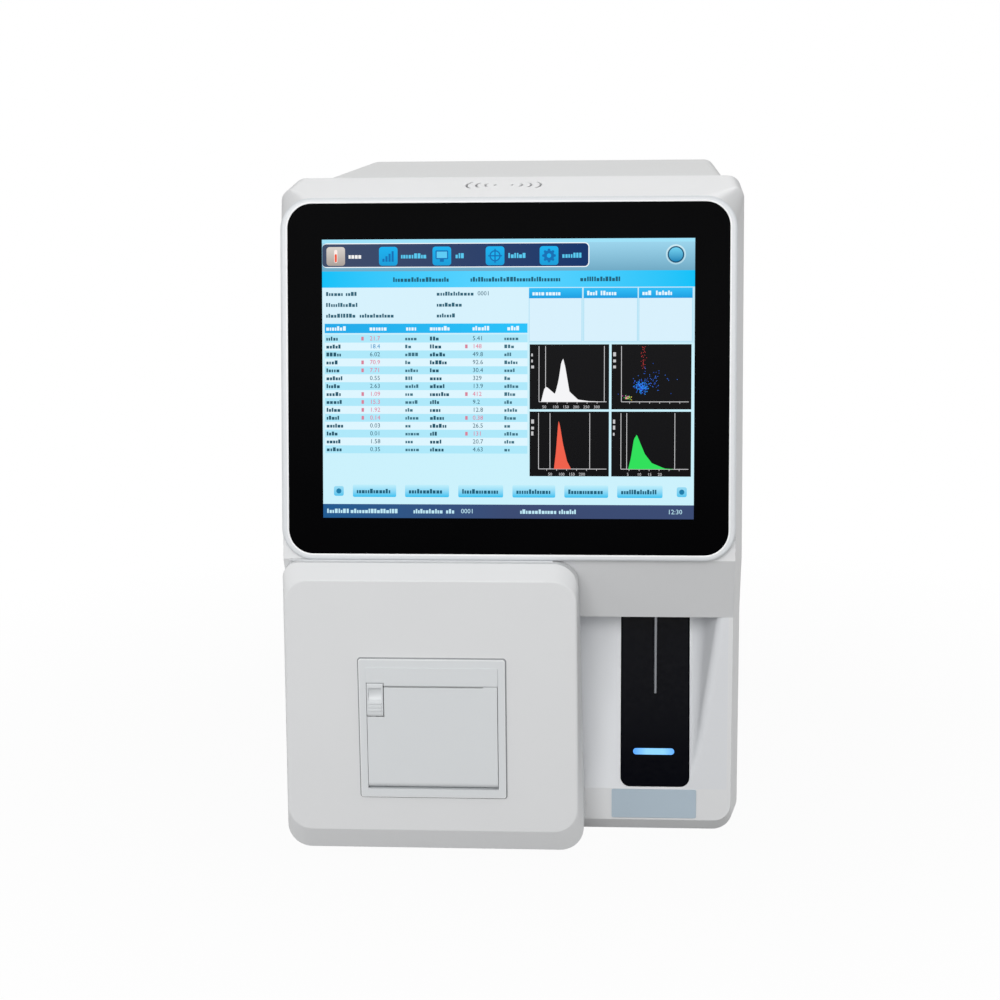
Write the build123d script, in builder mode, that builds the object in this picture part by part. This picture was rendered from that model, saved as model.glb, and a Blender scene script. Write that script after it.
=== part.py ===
from build123d import *
import os
from math import asin, atan, cos, hypot, pi, radians, sin, sqrt, tan

os.makedirs("parts", exist_ok=True)

# Bench-top blood analyzer with a leaning touch display over a printer and a sampling bay.
# Millimetres. X to the right, Y to the back, Z up. The origin is on the bench, in the middle
# of the whole outline. Every size below is written once and the rest is worked out from it.

# Whole instrument
overall_depth = 440.0
foot_height = 5.0
shell_height = 381.0
seam_depth = 151.0
port_reach = 14.0
shell_wall = 2.8
tuck_wall = 1.8
sheet = 1.2
base_sheet = 1.5
seam_gap = 0.3
fit_gap = 0.3

# Display
screen_lean = 8.8
screen_setback = 26.0
frame_drop = 4.7125
frame_corner = 18.0
frame_thickness = 4.0
rim_proud = 0.8
glass_width = 250.6
glass_height = 199.2
side_border = 4.2
end_border = 3.4
glass_corner = 14.0
glass_thickness = 1.8
lcd_side_margin = 12.3
lcd_end_margin = 13.6
lcd_thickness = 7.0
bracket_border = 8.0
top_slope = 6.1
flare_side = 5.0
flare_depth = 30.0
flare_corner = 6.5
crest_setback = 116.5
crest_corner = 8.0
shell_corner = 5.0

# Lower front: printer cover on the left, sampling bay on the right
lower_setback = 34.0
lip_drop = 38.6
lower_bevel = 8.5
lower_face_corner = 10.0
lower_corner = 12.0
cover_gap_low = 4.0
cover_gap_high = 5.9
cover_right_low = 43.7
cover_right_high = 39.9
cover_top_gap = 0.1
cover_corner = 14.0
cover_heel_corner = 9.0
cover_bevel_side = 1.3
cover_bevel_top = 9.3
cover_bevel_low = 13.0
cover_bevel_depth = 5.5
cover_wall = 2.5
bay_left = 37.5
bay_side_gap = 7.5
bay_foot = 28.0
bay_depth = 28.0
bay_wall = 2.2
bay_corner = 10.0
bay_edge = 6.0
scoop_high_gap = 5.5
scoop_low_gap = 21.0
scoop_cheek = 9.0
strip_shift = -1.45
strip_width = 40.0
strip_proud = 1.0
strip_corner = 5.2
strip_travel = 2.0
light_width = 24.4
light_height = 3.8
light_rise = 22.0
label_width = 50.0
label_height = 17.8
label_thickness = 0.4
label_rise = 18.7

# Printer
printer_shift = 0.0
printer_z = 80.3
bezel_width = 84.3
bezel_height = 83.2
bezel_thickness = 1.4
panel_width = 75.8
panel_height = 73.0
panel_proud = 1.9
head_strip = 10.6
housing_depth = 57.0
housing_wall = 1.8
door_gap = 0.8
door_line = 0.35
door_side_gap = 0.3
door_plate = 3.0
paper_slot = 1.0
platen_radius = 4.5
platen_length = 59.0
platen_shaft = 1.5
platen_drop = 7.0
platen_depth = 9.0
ear_width = 2.5
gear_module = 0.5
platen_teeth = 22
drive_teeth = 11
gear_width = 1.7
roll_radius = 22.0
roll_width = 57.5
roll_core = 6.5
latch_width = 9.4
latch_height = 19.5
latch_rise = 1.3
latch_gap = 0.4
latch_foot_drop = 2.7
pin_radius = 0.8
slot_pitch = 2.4

# Sampling unit
probe_y_setback = 43.0
probe_radius = 0.9
probe_clearance = 56.0
probe_travel = 54.0
probe_hub_radius = 4.0
hub_rise = 53.5
hub_height = 14.0
rod_radius = 3.0
rod_spread = 19.0
rod_behind = 27.0
screw_behind = 36.0
screw_radius = 2.5
screw_lead = 10.0
sliding_gap = 0.05
carriage_height = 16.0
carriage_depth = 12.0
carriage_width = 54.0
rod_rise = 11.5
rod_spare = 18.0
plate_thickness = 3.0
stepper_size = 28.0
stepper_length = 30.0

# Rear cover, back panel, base and side door
rear_side_gap = 4.5
rear_top_gap = 2.2
bend_radius = 8.0
tuck = 8.0
flange_height = 15.0
door_front_gap = 24.0
door_length = 180.0
door_low = 70.0
door_top_gap = 33.8
door_seam = 0.8
hinge_radius = 2.2
hinge_pin_radius = 1.1
hinge_height = 36.0
hinge_inset = 40.0
leaf_width = 12.0
leaf_thickness = 1.0
foot_radius = 11.0
foot_spread_x = 210.0
foot_spread_y = 320.0
foot_shift_y = 8.0

# Fluid syringes in the side compartment
syringe_stroke = 38.0
clamp_z = 160.0
barrel_grip = 4.0
yoke_height = 11.0

# Places worked out from the sizes above
front_y = -overall_depth / 2
back_y = overall_depth / 2 - port_reach
bottom_z = foot_height
seam_y = front_y + seam_depth
seam_z = bottom_z + shell_height
lower_y = front_y + lower_setback
bay_foot_z = bottom_z + bay_foot
screen_y = front_y + screen_setback
frame_width = glass_width + 2 * side_border
frame_height = glass_height + 2 * end_border
lean = radians(screen_lean)
screen_z = seam_z - frame_drop - frame_height / 2 * cos(lean)
lcd_width = glass_width - 2 * lcd_side_margin
lcd_height = glass_height - 2 * lcd_end_margin
shell_width = frame_width + 2 * flare_side
rear_width = shell_width - 2 * rear_side_gap
side_x = rear_width / 2
cover_left_low = -shell_width / 2 + cover_gap_low
cover_left_high = -shell_width / 2 + cover_gap_high
printer_x = (cover_left_low + cover_right_low) / 2 + printer_shift
bay_right = shell_width / 2 - bay_side_gap
strip_x = (bay_left + bay_wall + bay_right) / 2 - strip_shift
cover_z = seam_z - rear_top_gap
display_plane = Plane(
    origin=(0, screen_y, screen_z),
    x_dir=(1, 0, 0),
    z_dir=(0, -cos(lean), sin(lean)),
)


def behind_glass(distance):
    """The plane parallel to the glass, that far behind its front."""
    return display_plane.offset(-distance)


def screen_point(height, distance):
    """Y and Z of a point at a height along the screen, that far behind the glass."""
    y = screen_y + height * sin(lean) + distance * cos(lean)
    z = screen_z + height * cos(lean) - distance * sin(lean)
    return y, z


def facing_front(y):
    """A sketch plane that faces the front, with local x along X and local y along Z."""
    return Plane(origin=(0, y, 0), x_dir=(1, 0, 0), z_dir=(0, -1, 0))


def facing_right(x):
    """A sketch plane that faces right, with local x along Y and local y along Z."""
    return Plane(origin=(x, 0, 0), x_dir=(0, 1, 0), z_dir=(1, 0, 0))


turn_for = {"x": (0, 90, 0), "y": (90, 0, 0), "z": (0, 0, 0)}


def block(low, high, mode=Mode.ADD):
    """A box between its lowest and highest corners."""
    middle = [(a + b) / 2 for a, b in zip(low, high)]
    with Locations(tuple(middle)):
        Box(high[0] - low[0], high[1] - low[1], high[2] - low[2], mode=mode)


def rod(axis, centre, radius, length, mode=Mode.ADD):
    """A round bar along X, Y or Z, by its centre."""
    with Locations(Location(centre, turn_for[axis])):
        Cylinder(radius, length, mode=mode)


def finish(piece, name):
    """Label a finished piece and write it."""
    piece.part.label = name
    export_step(piece.part, f"parts/{name}.step")


# Front shell: one white moulding with the leaning head, the overhang and the lower front.
# Its sides flare from the width of the display frame to the full width.
overhang_y, overhang_z = screen_point(-frame_height / 2, frame_thickness)
lip_z = overhang_z - lip_drop
overhang_angle = atan((lower_y - overhang_y) / (overhang_z - lip_z))
flare_y, flare_z = screen_point(-frame_height / 2, frame_thickness + flare_depth)
lip_flare_y = flare_y + (flare_z - lip_z) * tan(overhang_angle)
band_y, band_z = screen_point(frame_height / 2, frame_thickness)
crest_y = front_y + crest_setback
crest_z = band_z + (crest_y - band_y) * tan(radians(top_slope))


def head_form(inset):
    """The head as a solid, drawn in by inset, from behind the display frame to the seam."""
    widen = tan(lean + radians(top_slope))
    low = -frame_height / 2
    sections = (
        (behind_glass(frame_thickness), frame_width, low, frame_height / 2, frame_corner),
        (
            behind_glass(frame_thickness + flare_depth),
            shell_width,
            low,
            frame_height / 2 + flare_depth * widen,
            flare_corner,
        ),
        (facing_front(crest_y), shell_width, flare_z, crest_z, crest_corner),
        (facing_front(seam_y), shell_width, flare_z, seam_z, shell_corner),
    )
    with BuildPart() as form:
        for plane, width, foot, top, corner in sections:
            half = width / 2 - inset
            with BuildSketch(plane):
                Polygon(
                    (-half, foot), (half, foot), (half, top - inset), (-half, top - inset),
                    align=None,
                )
                fillet(vertices().group_by(Axis.Y)[-1], radius=corner - inset)
        loft(ruled=True)
        with BuildSketch(behind_glass(frame_thickness + inset)):
            Rectangle(2 * shell_width, 2 * shell_height)
        extrude(amount=inset + 1, mode=Mode.SUBTRACT)
    return form.part


def overhang_form(inset):
    """The sloping underside of the head as a solid, drawn in by inset, down to the lip."""
    low_y = lower_y + inset / cos(overhang_angle)
    reach = frame_thickness + inset / cos(overhang_angle + lean)
    run = lip_flare_y - lower_y
    with BuildPart() as form:
        with BuildSketch(facing_right(-shell_width / 2 + inset)):
            Polygon(
                (seam_y, lip_z),
                (low_y, lip_z),
                screen_point(-frame_height / 2, reach),
                (flare_y, flare_z),
                (seam_y, flare_z),
                align=None,
            )
        extrude(amount=shell_width - 2 * inset)
        for side in (-1, 1):
            side_plane = Plane(
                origin=(side * (frame_width / 2 - inset), lower_y, lip_z),
                x_dir=(0, -sin(overhang_angle), cos(overhang_angle)),
                z_dir=(side * run, -flare_side, -flare_side * tan(overhang_angle)),
            )
            split(bisect_by=side_plane, keep=Keep.BOTTOM)
    return form.part


def lower_form(inset):
    """The lower front as a solid, drawn in by inset, from the floor to the lip."""
    diagonal = (sqrt(2) - 1) * inset
    heel_y = lower_y + lower_bevel + diagonal
    sections = (
        (lower_y + inset, bottom_z + lower_bevel + diagonal, lower_face_corner),
        (heel_y, bottom_z + inset, lower_corner),
        (lip_flare_y, bottom_z + inset, lower_corner),
        (seam_y, bottom_z + inset, lower_corner),
    )
    with BuildPart() as form:
        for place, foot, corner in sections:
            flared = min(1, (place - lower_y) / (lip_flare_y - lower_y))
            half = frame_width / 2 + flared * flare_side - inset
            with BuildSketch(facing_front(place)):
                Polygon((-half, foot), (half, foot), (half, lip_z), (-half, lip_z), align=None)
                fillet(vertices().group_by(Axis.Y)[0], radius=corner - inset)
        loft(ruled=True)
    return form.part


window_width = lcd_width + 2 * fit_gap + 8
window_height = lcd_height + 2 * fit_gap + 8
speaker_x = -5.0
speaker_radius = 26.0
speaker_setback = 29.6
speaker_y = crest_y - speaker_setback
speaker_drop = (speaker_setback + speaker_radius) * tan(radians(top_slope))
speaker_radii = (21.8, 16.2, 10.8, 5.2)
speaker_arc = radians(30)
speaker_slot = 1.3
wedge_x = 2 * speaker_radii[0] * cos(speaker_arc)
wedge_y = 2 * speaker_radii[0] * sin(speaker_arc)
housing_width = panel_width + 2 * housing_wall
housing_height = panel_height + 2 * housing_wall
opening_gap = 1.0

with BuildPart() as front_shell:
    add(head_form(0))
    add(overhang_form(0))
    add(lower_form(0))
    add(head_form(shell_wall), mode=Mode.SUBTRACT)
    add(overhang_form(shell_wall), mode=Mode.SUBTRACT)
    add(lower_form(shell_wall), mode=Mode.SUBTRACT)
    # The back is open for the rear cover, which tucks in, and the floor for the base plate
    with BuildSketch(facing_front(seam_y + 1)):
        with Locations((0, bottom_z + shell_height / 2)):
            RectangleRounded(
                shell_width - 2 * tuck_wall,
                shell_height - 2 * tuck_wall,
                lower_corner - tuck_wall,
            )
    extrude(amount=tuck + 5, mode=Mode.SUBTRACT)
    block(
        (-shell_width / 2 + lower_corner, lower_y + lower_bevel + 6, bottom_z - 1),
        (shell_width / 2 - lower_corner, seam_y + 1, bottom_z + 2 * shell_wall),
        Mode.SUBTRACT,
    )
    with BuildSketch(behind_glass(frame_thickness - 1)):
        Rectangle(window_width, window_height)
    extrude(amount=-shell_wall - 3, mode=Mode.SUBTRACT)
    # Sampling bay on the right, printer housing on the left
    block(
        (bay_left, lower_y - 1, bay_foot_z),
        (bay_right, lower_y + shell_wall + 1, lip_z),
        Mode.SUBTRACT,
    )
    block(
        (
            printer_x - housing_width / 2 - opening_gap,
            lower_y - 1,
            printer_z - housing_height / 2 - opening_gap,
        ),
        (
            printer_x + housing_width / 2 + opening_gap,
            lower_y + shell_wall + 1,
            printer_z + housing_height / 2 + opening_gap,
        ),
        Mode.SUBTRACT,
    )
    with BuildSketch(Plane.XY.offset(crest_z + 1)):
        with Locations((speaker_x, speaker_y)):
            for slot_radius in speaker_radii:
                Circle(slot_radius + speaker_slot / 2)
                Circle(slot_radius - speaker_slot / 2, mode=Mode.SUBTRACT)
            for side in (-1, 1):
                Polygon(
                    (0, 0),
                    (wedge_x, side * wedge_y),
                    (wedge_x, side * 2 * wedge_x),
                    (-wedge_x, side * 2 * wedge_x),
                    (-wedge_x, side * wedge_y),
                    align=None,
                    mode=Mode.SUBTRACT,
                )
    extrude(amount=-speaker_drop - 2 * shell_wall, mode=Mode.SUBTRACT)
finish(front_shell, "front_shell")

# Display frame: the thin rim round the glass
with BuildPart() as display_frame:
    with BuildSketch(behind_glass(frame_thickness)):
        RectangleRounded(frame_width, frame_height, frame_corner)
        RectangleRounded(
            glass_width + 2 * fit_gap,
            glass_height + 2 * fit_gap,
            glass_corner + fit_gap,
            mode=Mode.SUBTRACT,
        )
    extrude(amount=frame_thickness + rim_proud)
    front_rim = display_frame.faces().sort_by(Axis(display_plane.origin, display_plane.z_dir))[-1]
    fillet(front_rim.outer_wire().edges(), radius=1.6)
finish(display_frame, "display_frame")

# Touch glass: black-bordered cover glass
with BuildPart() as touch_glass:
    with BuildSketch(behind_glass(glass_thickness)):
        RectangleRounded(glass_width, glass_height, glass_corner)
    extrude(amount=glass_thickness)
finish(touch_glass, "touch_glass")

# Display panel: metal-framed flat panel bonded behind the glass
with BuildPart() as lcd_module:
    with BuildSketch(behind_glass(glass_thickness + lcd_thickness)):
        RectangleRounded(lcd_width, lcd_height, 2)
    extrude(amount=lcd_thickness)
    with BuildSketch(behind_glass(glass_thickness + lcd_thickness)):
        with Locations((0, -lcd_height / 4)):
            Rectangle(lcd_width * 0.6, lcd_height * 0.3)
    extrude(amount=-1.5)
finish(lcd_module, "lcd_module")

# Display bracket: steel tray screwed inside the head, holding the panel from behind
tray_front = frame_thickness + shell_wall
tray_back = glass_thickness + lcd_thickness + 1.5 + sheet
tray_width = window_width + 2 * bracket_border
tray_height = window_height + 2 * bracket_border
with BuildPart() as display_bracket:
    with BuildSketch(behind_glass(tray_back)):
        RectangleRounded(tray_width - 2 * bracket_border + 2 * sheet, tray_height - 2, 2)
    extrude(amount=tray_back - tray_front)
    with BuildSketch(behind_glass(tray_back - sheet)):
        Rectangle(window_width - 1, window_height)
    extrude(amount=tray_back, mode=Mode.SUBTRACT)
    with BuildSketch(behind_glass(tray_front + sheet)):
        RectangleRounded(tray_width, tray_height, frame_corner - shell_wall)
        Rectangle(window_width - 1, window_height, mode=Mode.SUBTRACT)
    extrude(amount=sheet)
    with BuildSketch(behind_glass(tray_back)):
        with GridLocations(70, 60, 3, 2):
            RectangleRounded(40, 34, 4)
    extrude(amount=sheet, mode=Mode.SUBTRACT)
finish(display_bracket, "display_bracket")

# Speaker under the slots in the top band
speaker_height = 7.0
magnet_height = 6.0
cone_radius = 8.0
speaker_z = crest_z - speaker_drop - shell_wall - fit_gap
with BuildPart() as speaker:
    with Locations((speaker_x, speaker_y, speaker_z - speaker_height / 2)):
        Cylinder(speaker_radius, speaker_height)
    with Locations((speaker_x, speaker_y, speaker_z)):
        Cone(
            cone_radius,
            speaker_radius - 3,
            speaker_height - 1,
            align=(Align.CENTER, Align.CENTER, Align.MAX),
            mode=Mode.SUBTRACT,
        )
    with Locations((speaker_x, speaker_y, speaker_z - speaker_height - magnet_height / 2)):
        Cylinder(speaker_radius / 2, magnet_height)
    for ear in (-1, 1):
        with Locations((speaker_x + ear * (speaker_radius + 2.5), speaker_y, speaker_z)):
            Box(7, 10, 1.5, align=(Align.CENTER, Align.CENTER, Align.MAX))
finish(speaker, "speaker")

# Printer cover: the bevelled box at the lower left
cover_top_z = overhang_z - cover_top_gap
cover_plane_y = front_y + cover_bevel_depth


def cover_outline(inset):
    """Outline of the printer cover where its sides are widest, drawn in by inset."""
    return (
        (cover_left_low + inset, bottom_z + inset),
        (cover_right_low - inset, bottom_z + inset),
        (cover_right_high - inset, cover_top_z - inset),
        (cover_left_high + inset, cover_top_z - inset),
    )


def cover_face(inset):
    """Outline of the flat front of the printer cover, drawn in by inset."""
    face_low = bottom_z + cover_bevel_low + inset
    face_high = cover_top_z - cover_bevel_top - inset
    return (
        (cover_left_low + cover_bevel_side + inset, face_low),
        (cover_right_high - inset, face_low),
        (cover_right_high - inset, face_high),
        (cover_left_high + cover_bevel_side + inset, face_high),
    )


def cover_form(inset):
    """The printer cover as a solid, drawn in by inset."""
    with BuildPart() as form:
        with BuildSketch(facing_front(front_y + inset)):
            Polygon(*cover_face(inset), align=None)
            fillet(vertices(), radius=cover_corner - inset)
        with BuildSketch(facing_front(cover_plane_y + inset)):
            Polygon(*cover_outline(inset), align=None)
            fillet(vertices().group_by(Axis.Y)[0], radius=cover_corner - inset)
            fillet(vertices().group_by(Axis.Y)[-1].sort_by(Axis.X)[0], radius=cover_heel_corner - inset)
            fillet(vertices().group_by(Axis.Y)[-1].sort_by(Axis.X)[-1], radius=cover_corner - inset)
        loft(ruled=True)
        with BuildSketch(facing_front(cover_plane_y + inset)):
            Polygon(*cover_outline(inset), align=None)
            fillet(vertices().group_by(Axis.Y)[0], radius=cover_corner - inset)
            fillet(vertices().group_by(Axis.Y)[-1].sort_by(Axis.X)[0], radius=cover_heel_corner - inset)
            fillet(vertices().group_by(Axis.Y)[-1].sort_by(Axis.X)[-1], radius=cover_corner - inset)
        extrude(amount=-(lower_y + shell_wall - cover_plane_y))
    return form.part


cover_solid = cover_form(0)
cover_hollow = cover_form(cover_wall)
with BuildPart() as printer_cover:
    add(cover_solid)
    add(cover_hollow, mode=Mode.SUBTRACT)
    # The back edge follows the front shell, which it is screwed to
    with BuildSketch(facing_right(-shell_width)):
        Polygon(
            (lower_y - seam_gap, 0),
            (lower_y - seam_gap, lip_z),
            (overhang_y - seam_gap - 0.2, overhang_z),
            (overhang_y - 6, overhang_z + 8),
            (seam_y, overhang_z + 8),
            (seam_y, 0),
            align=None,
        )
    extrude(amount=2 * shell_width, mode=Mode.SUBTRACT)
    block(
        (
            printer_x - housing_width / 2 - fit_gap,
            front_y - 1,
            printer_z - housing_height / 2 - fit_gap,
        ),
        (
            printer_x + housing_width / 2 + fit_gap,
            front_y + cover_wall + 1,
            printer_z + housing_height / 2 + fit_gap,
        ),
        Mode.SUBTRACT,
    )
    front_edge = (
        printer_cover.faces()
        .filter_by(Axis.Y)
        .sort_by(Axis.Y)[0]
        .outer_wire()
        .edges()
    )
    fillet(front_edge, radius=1.5)
finish(printer_cover, "printer_cover")

# Printer housing: bezel, fixed head strip and paper bucket in one moulding
panel_left = printer_x - panel_width / 2
panel_right = printer_x + panel_width / 2
panel_low = printer_z - panel_height / 2
panel_high = printer_z + panel_height / 2
panel_front = front_y - panel_proud
strip_low = panel_high - head_strip
bucket_back = front_y + housing_depth
bucket_left = printer_x - housing_width / 2
bucket_right = printer_x + housing_width / 2
bucket_low = printer_z - housing_height / 2
bucket_high = printer_z + housing_height / 2
platen_left = printer_x - platen_length / 2
platen_right = printer_x + platen_length / 2
platen_y = panel_front + platen_depth
platen_z = strip_low - platen_drop
gear_reach = gear_module * (platen_teeth + drive_teeth) / 2
drive_y = platen_y + gear_reach
gear_right = bucket_right - housing_wall - 0.35
motor_shaft = 1.0
hinge_rise = 3.2
hinge_y = panel_front + hinge_rise
hinge_z = panel_low + door_gap + hinge_rise
tooth_count = int(roll_width / slot_pitch)
with BuildPart() as printer_housing:
    block((bucket_left, front_y, bucket_low), (bucket_right, bucket_back, bucket_high))
    with BuildSketch(facing_front(front_y - 0.1)):
        with Locations((printer_x, printer_z)):
            RectangleRounded(bezel_width, bezel_height, 1.5)
    extrude(amount=bezel_thickness)
    chamfer(printer_housing.faces().sort_by(Axis.Y)[0].outer_wire().edges(), length=0.5)
    # Bucket for the paper roll and the window that the door fills
    block(
        (bucket_left + housing_wall, front_y + 2, bucket_low + housing_wall),
        (bucket_right - housing_wall, bucket_back - housing_wall, bucket_high - housing_wall),
        Mode.SUBTRACT,
    )
    block(
        (panel_left, front_y - 5, panel_low),
        (panel_right, front_y + 3, panel_high),
        Mode.SUBTRACT,
    )
    # Head strip above the door, with the tear teeth along its lower edge
    block(
        (panel_left, panel_front, strip_low),
        (panel_right, panel_front + 2.2, panel_high),
    )
    block(
        (panel_left, panel_front + 2.2, panel_high - 2.2),
        (panel_right, front_y + 4, panel_high),
    )
    with BuildSketch(facing_front(panel_front + 1.2)):
        with Locations((printer_x, strip_low)):
            with GridLocations(slot_pitch, 1, tooth_count, 1):
                RegularPolygon(0.7, 3, rotation=-90)
    extrude(amount=-0.9)
    block(
        (panel_left, panel_front - 1, strip_low - 1),
        (
            panel_left + latch_width + 2 * latch_gap,
            panel_front + 3,
            strip_low + latch_rise + latch_gap,
        ),
        Mode.SUBTRACT,
    )
    # Round holes for the door's hinge pin and for the motor shaft
    rod("x", (printer_x, hinge_y, hinge_z), 1.05, housing_width + 2, Mode.SUBTRACT)
    rod("x", (bucket_right, drive_y, platen_z), motor_shaft + 0.4, 6, Mode.SUBTRACT)
finish(printer_housing, "printer_housing")

# Print head: the thermal head over the platen, screwed into the head strip
head_low = platen_z + platen_radius + fit_gap
with BuildPart() as print_head:
    block(
        (platen_left + 0.3, panel_front + 3.4, head_low + 0.8),
        (platen_right - 0.3, platen_y + 4, panel_high - 2.4),
    )
    block(
        (platen_left + 1, platen_y - 1.5, head_low),
        (platen_right - 1, platen_y + 1.5, head_low + 0.8),
    )
    block(
        (platen_left - 4.5, platen_y + 4, head_low + 4),
        (platen_right + 4.5, platen_y + 5.6, bucket_high - housing_wall),
    )
finish(print_head, "print_head")

# Printer door: flat plate with a barrel at the foot and two ears that carry the platen
door_left = panel_left + door_side_gap
door_right = panel_right - door_side_gap
door_top = strip_low - door_line
ear_left = panel_left + 2.2
ear_right = printer_x + platen_length / 2 + 0.5
latch_left = panel_left + latch_gap
latch_right = latch_left + latch_width
latch_front = panel_front - 0.5
latch_top = strip_low + latch_rise
latch_pin_y = panel_front + 5.2
latch_pin_z = latch_top - latch_height + latch_foot_drop
latch_foot = latch_pin_y - latch_front
with BuildPart() as printer_door:
    block((door_left, panel_front, hinge_z), (door_right, panel_front + door_plate, door_top))
    fillet(
        printer_door.edges().filter_by(Axis.X).group_by(Axis.Y)[0].sort_by(Axis.Z)[-1:],
        radius=0.3,
    )
    block(
        (platen_left, panel_front - 1, strip_low - paper_slot),
        (platen_right, panel_front + door_plate + 1, door_top + 1),
        Mode.SUBTRACT,
    )
    rod(
        "x",
        ((door_left + door_right) / 2, hinge_y, hinge_z),
        hinge_rise,
        door_right - door_left,
    )
    # Notch for the latch, hollowed at its foot round the latch's pin
    block(
        (latch_left - 1, panel_front - 1, latch_pin_z),
        (latch_right + latch_gap, panel_front + door_plate + 1, door_top + 1),
        Mode.SUBTRACT,
    )
    rod("x", ((latch_left + latch_right + latch_gap - 1) / 2, latch_pin_y, latch_pin_z),
        latch_foot + 0.3, latch_width + latch_gap + 1, Mode.SUBTRACT)
    for ear_x, ear_front in ((ear_left, panel_front + 3.4), (ear_right, panel_front + 1.5)):
        with BuildSketch(facing_right(ear_x)):
            Polygon(
                (ear_front, platen_z - 16),
                (platen_y + 3.2, platen_z - 3),
                (platen_y + 3.2, platen_z + 2.6),
                (panel_front + 7.2, door_top - 1.2),
                (ear_front, door_top - 1.2),
                align=None,
            )
        extrude(amount=ear_width)
        rod("x", (ear_x + ear_width / 2, platen_y, platen_z), platen_shaft + sliding_gap,
            ear_width + 2, Mode.SUBTRACT)
    # The left ear is tied back to the plate beside the latch notch, and takes its pin
    block(
        (ear_left, panel_front + door_plate - 0.5, latch_pin_z - 10),
        (latch_right + 4, panel_front + 5.0, latch_pin_z - 5.1),
    )
    block(
        (ear_left, panel_front + 3.4, latch_pin_z - 8),
        (ear_left + ear_width, panel_front + 5.0, latch_pin_z - 2),
    )
    rod("x", (ear_left + ear_width / 2, latch_pin_y, latch_pin_z), pin_radius + sliding_gap,
        ear_width + 2, Mode.SUBTRACT)
    rod("x", ((door_left + door_right) / 2, hinge_y, hinge_z), 1.0 + sliding_gap,
        door_right - door_left + 2, Mode.SUBTRACT)
finish(printer_door, "printer_door")

# Hinge pin of the printer door
with BuildPart() as printer_door_pin:
    rod("x", (printer_x, hinge_y, hinge_z), 1.0, housing_width)
finish(printer_door_pin, "printer_door_pin")

# Printer latch: ribbed lever in the door's upper corner. Its lip is pulled to the front, and
# it turns about a pin at its round foot
foot_turn = asin(latch_foot_drop / latch_foot)
foot_end = (latch_pin_y - latch_foot * cos(foot_turn), latch_pin_z - latch_foot_drop)
foot_middle = (
    latch_pin_y - latch_foot * cos(foot_turn / 2),
    latch_pin_z - latch_foot * sin(foot_turn / 2),
)
with BuildPart() as printer_latch:
    with BuildSketch(facing_right(latch_left)):
        with BuildLine():
            Polyline(
                foot_end,
                (latch_pin_y + 1.4, latch_pin_z - 1.4),
                (latch_pin_y + 1.4, latch_pin_z + 1.4),
                (latch_front + 2.6, latch_pin_z + 1.4),
                (latch_front + 2.6, latch_top),
                (latch_front + 0.6, latch_top),
                (latch_front, latch_top - 0.6),
                (latch_front, latch_pin_z),
            )
            ThreePointArc((latch_front, latch_pin_z), foot_middle, foot_end)
        make_face()
    extrude(amount=latch_width)
    # Finger hollow under the top lip, then three grip ribs
    rod("x", (latch_left + latch_width / 2, latch_front - 4.4, latch_top - 6.5), 6.0,
        latch_width - 1.6, Mode.SUBTRACT)
    for rib in range(3):
        block(
            (latch_left + 0.8, latch_front - 0.5, latch_pin_z + 0.4 + 2.0 * rib),
            (latch_right - 0.8, latch_front + 0.1, latch_pin_z + 1.3 + 2.0 * rib),
        )
    # Slot between its two lugs for the door's ear, and the pin
    block(
        (ear_left - 0.25, latch_pin_y - 3.4, latch_pin_z - latch_foot),
        (ear_left + ear_width + 0.25, latch_pin_y + 3, latch_pin_z + 3),
        Mode.SUBTRACT,
    )
    rod("x", (latch_left + latch_width / 2, latch_pin_y, latch_pin_z), pin_radius, latch_width)
finish(printer_latch, "printer_latch")


def gear_outline(teeth, first_angle):
    """Points round a spur gear with plain tapered teeth, the first tooth at first_angle."""
    pitch_radius = gear_module * teeth / 2
    root = pitch_radius - 1.2 * gear_module
    tip = pitch_radius + 0.85 * gear_module
    step = 2 * pi / teeth
    points = []
    for tooth in range(teeth):
        middle = first_angle + tooth * step
        for radius, share in ((root, -0.33), (tip, -0.13), (tip, 0.13), (root, 0.33)):
            angle = middle + share * step
            points.append((radius * cos(angle), radius * sin(angle)))
    return points


# Platen roller with its shaft, the gear on its end, and the motor's drive gear in mesh
with BuildPart() as platen_roller:
    rod("x", (printer_x, platen_y, platen_z), platen_radius, platen_length)
    shaft_left = ear_left - 0.2
    shaft_right = gear_right
    rod("x", ((shaft_left + shaft_right) / 2, platen_y, platen_z), platen_shaft,
        shaft_right - shaft_left)
finish(platen_roller, "platen_roller")

with BuildPart() as platen_gear:
    gear_plane = Plane(
        origin=(gear_right - gear_width, platen_y, platen_z), x_dir=(0, 1, 0), z_dir=(1, 0, 0)
    )
    with BuildSketch(gear_plane):
        Polygon(*gear_outline(platen_teeth, 0), align=None)
        Circle(platen_shaft, mode=Mode.SUBTRACT)
    extrude(amount=gear_width)
finish(platen_gear, "platen_gear")

with BuildPart() as drive_gear:
    half_tooth = pi / drive_teeth
    gear_plane = Plane(
        origin=(gear_right - gear_width, drive_y, platen_z), x_dir=(0, 1, 0), z_dir=(1, 0, 0)
    )
    with BuildSketch(gear_plane):
        Polygon(*gear_outline(drive_teeth, pi + half_tooth), align=None)
    extrude(amount=gear_width)
    rod("x", (gear_right + 3, drive_y, platen_z), motor_shaft, 6)
finish(drive_gear, "drive_gear")

# Printer motor on the outside of the bucket
motor_left = bucket_right + 0.2
with BuildPart() as printer_motor:
    rod("x", (motor_left + 8, drive_y, platen_z), 7.0, 16)
    block(
        (motor_left, drive_y - 11.5, platen_z - 5),
        (motor_left + 1.2, drive_y + 11.5, platen_z + 5),
    )
    rod("x", (motor_left + 4, drive_y, platen_z), motor_shaft + 0.1, 8, Mode.SUBTRACT)
finish(printer_motor, "printer_motor")

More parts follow.
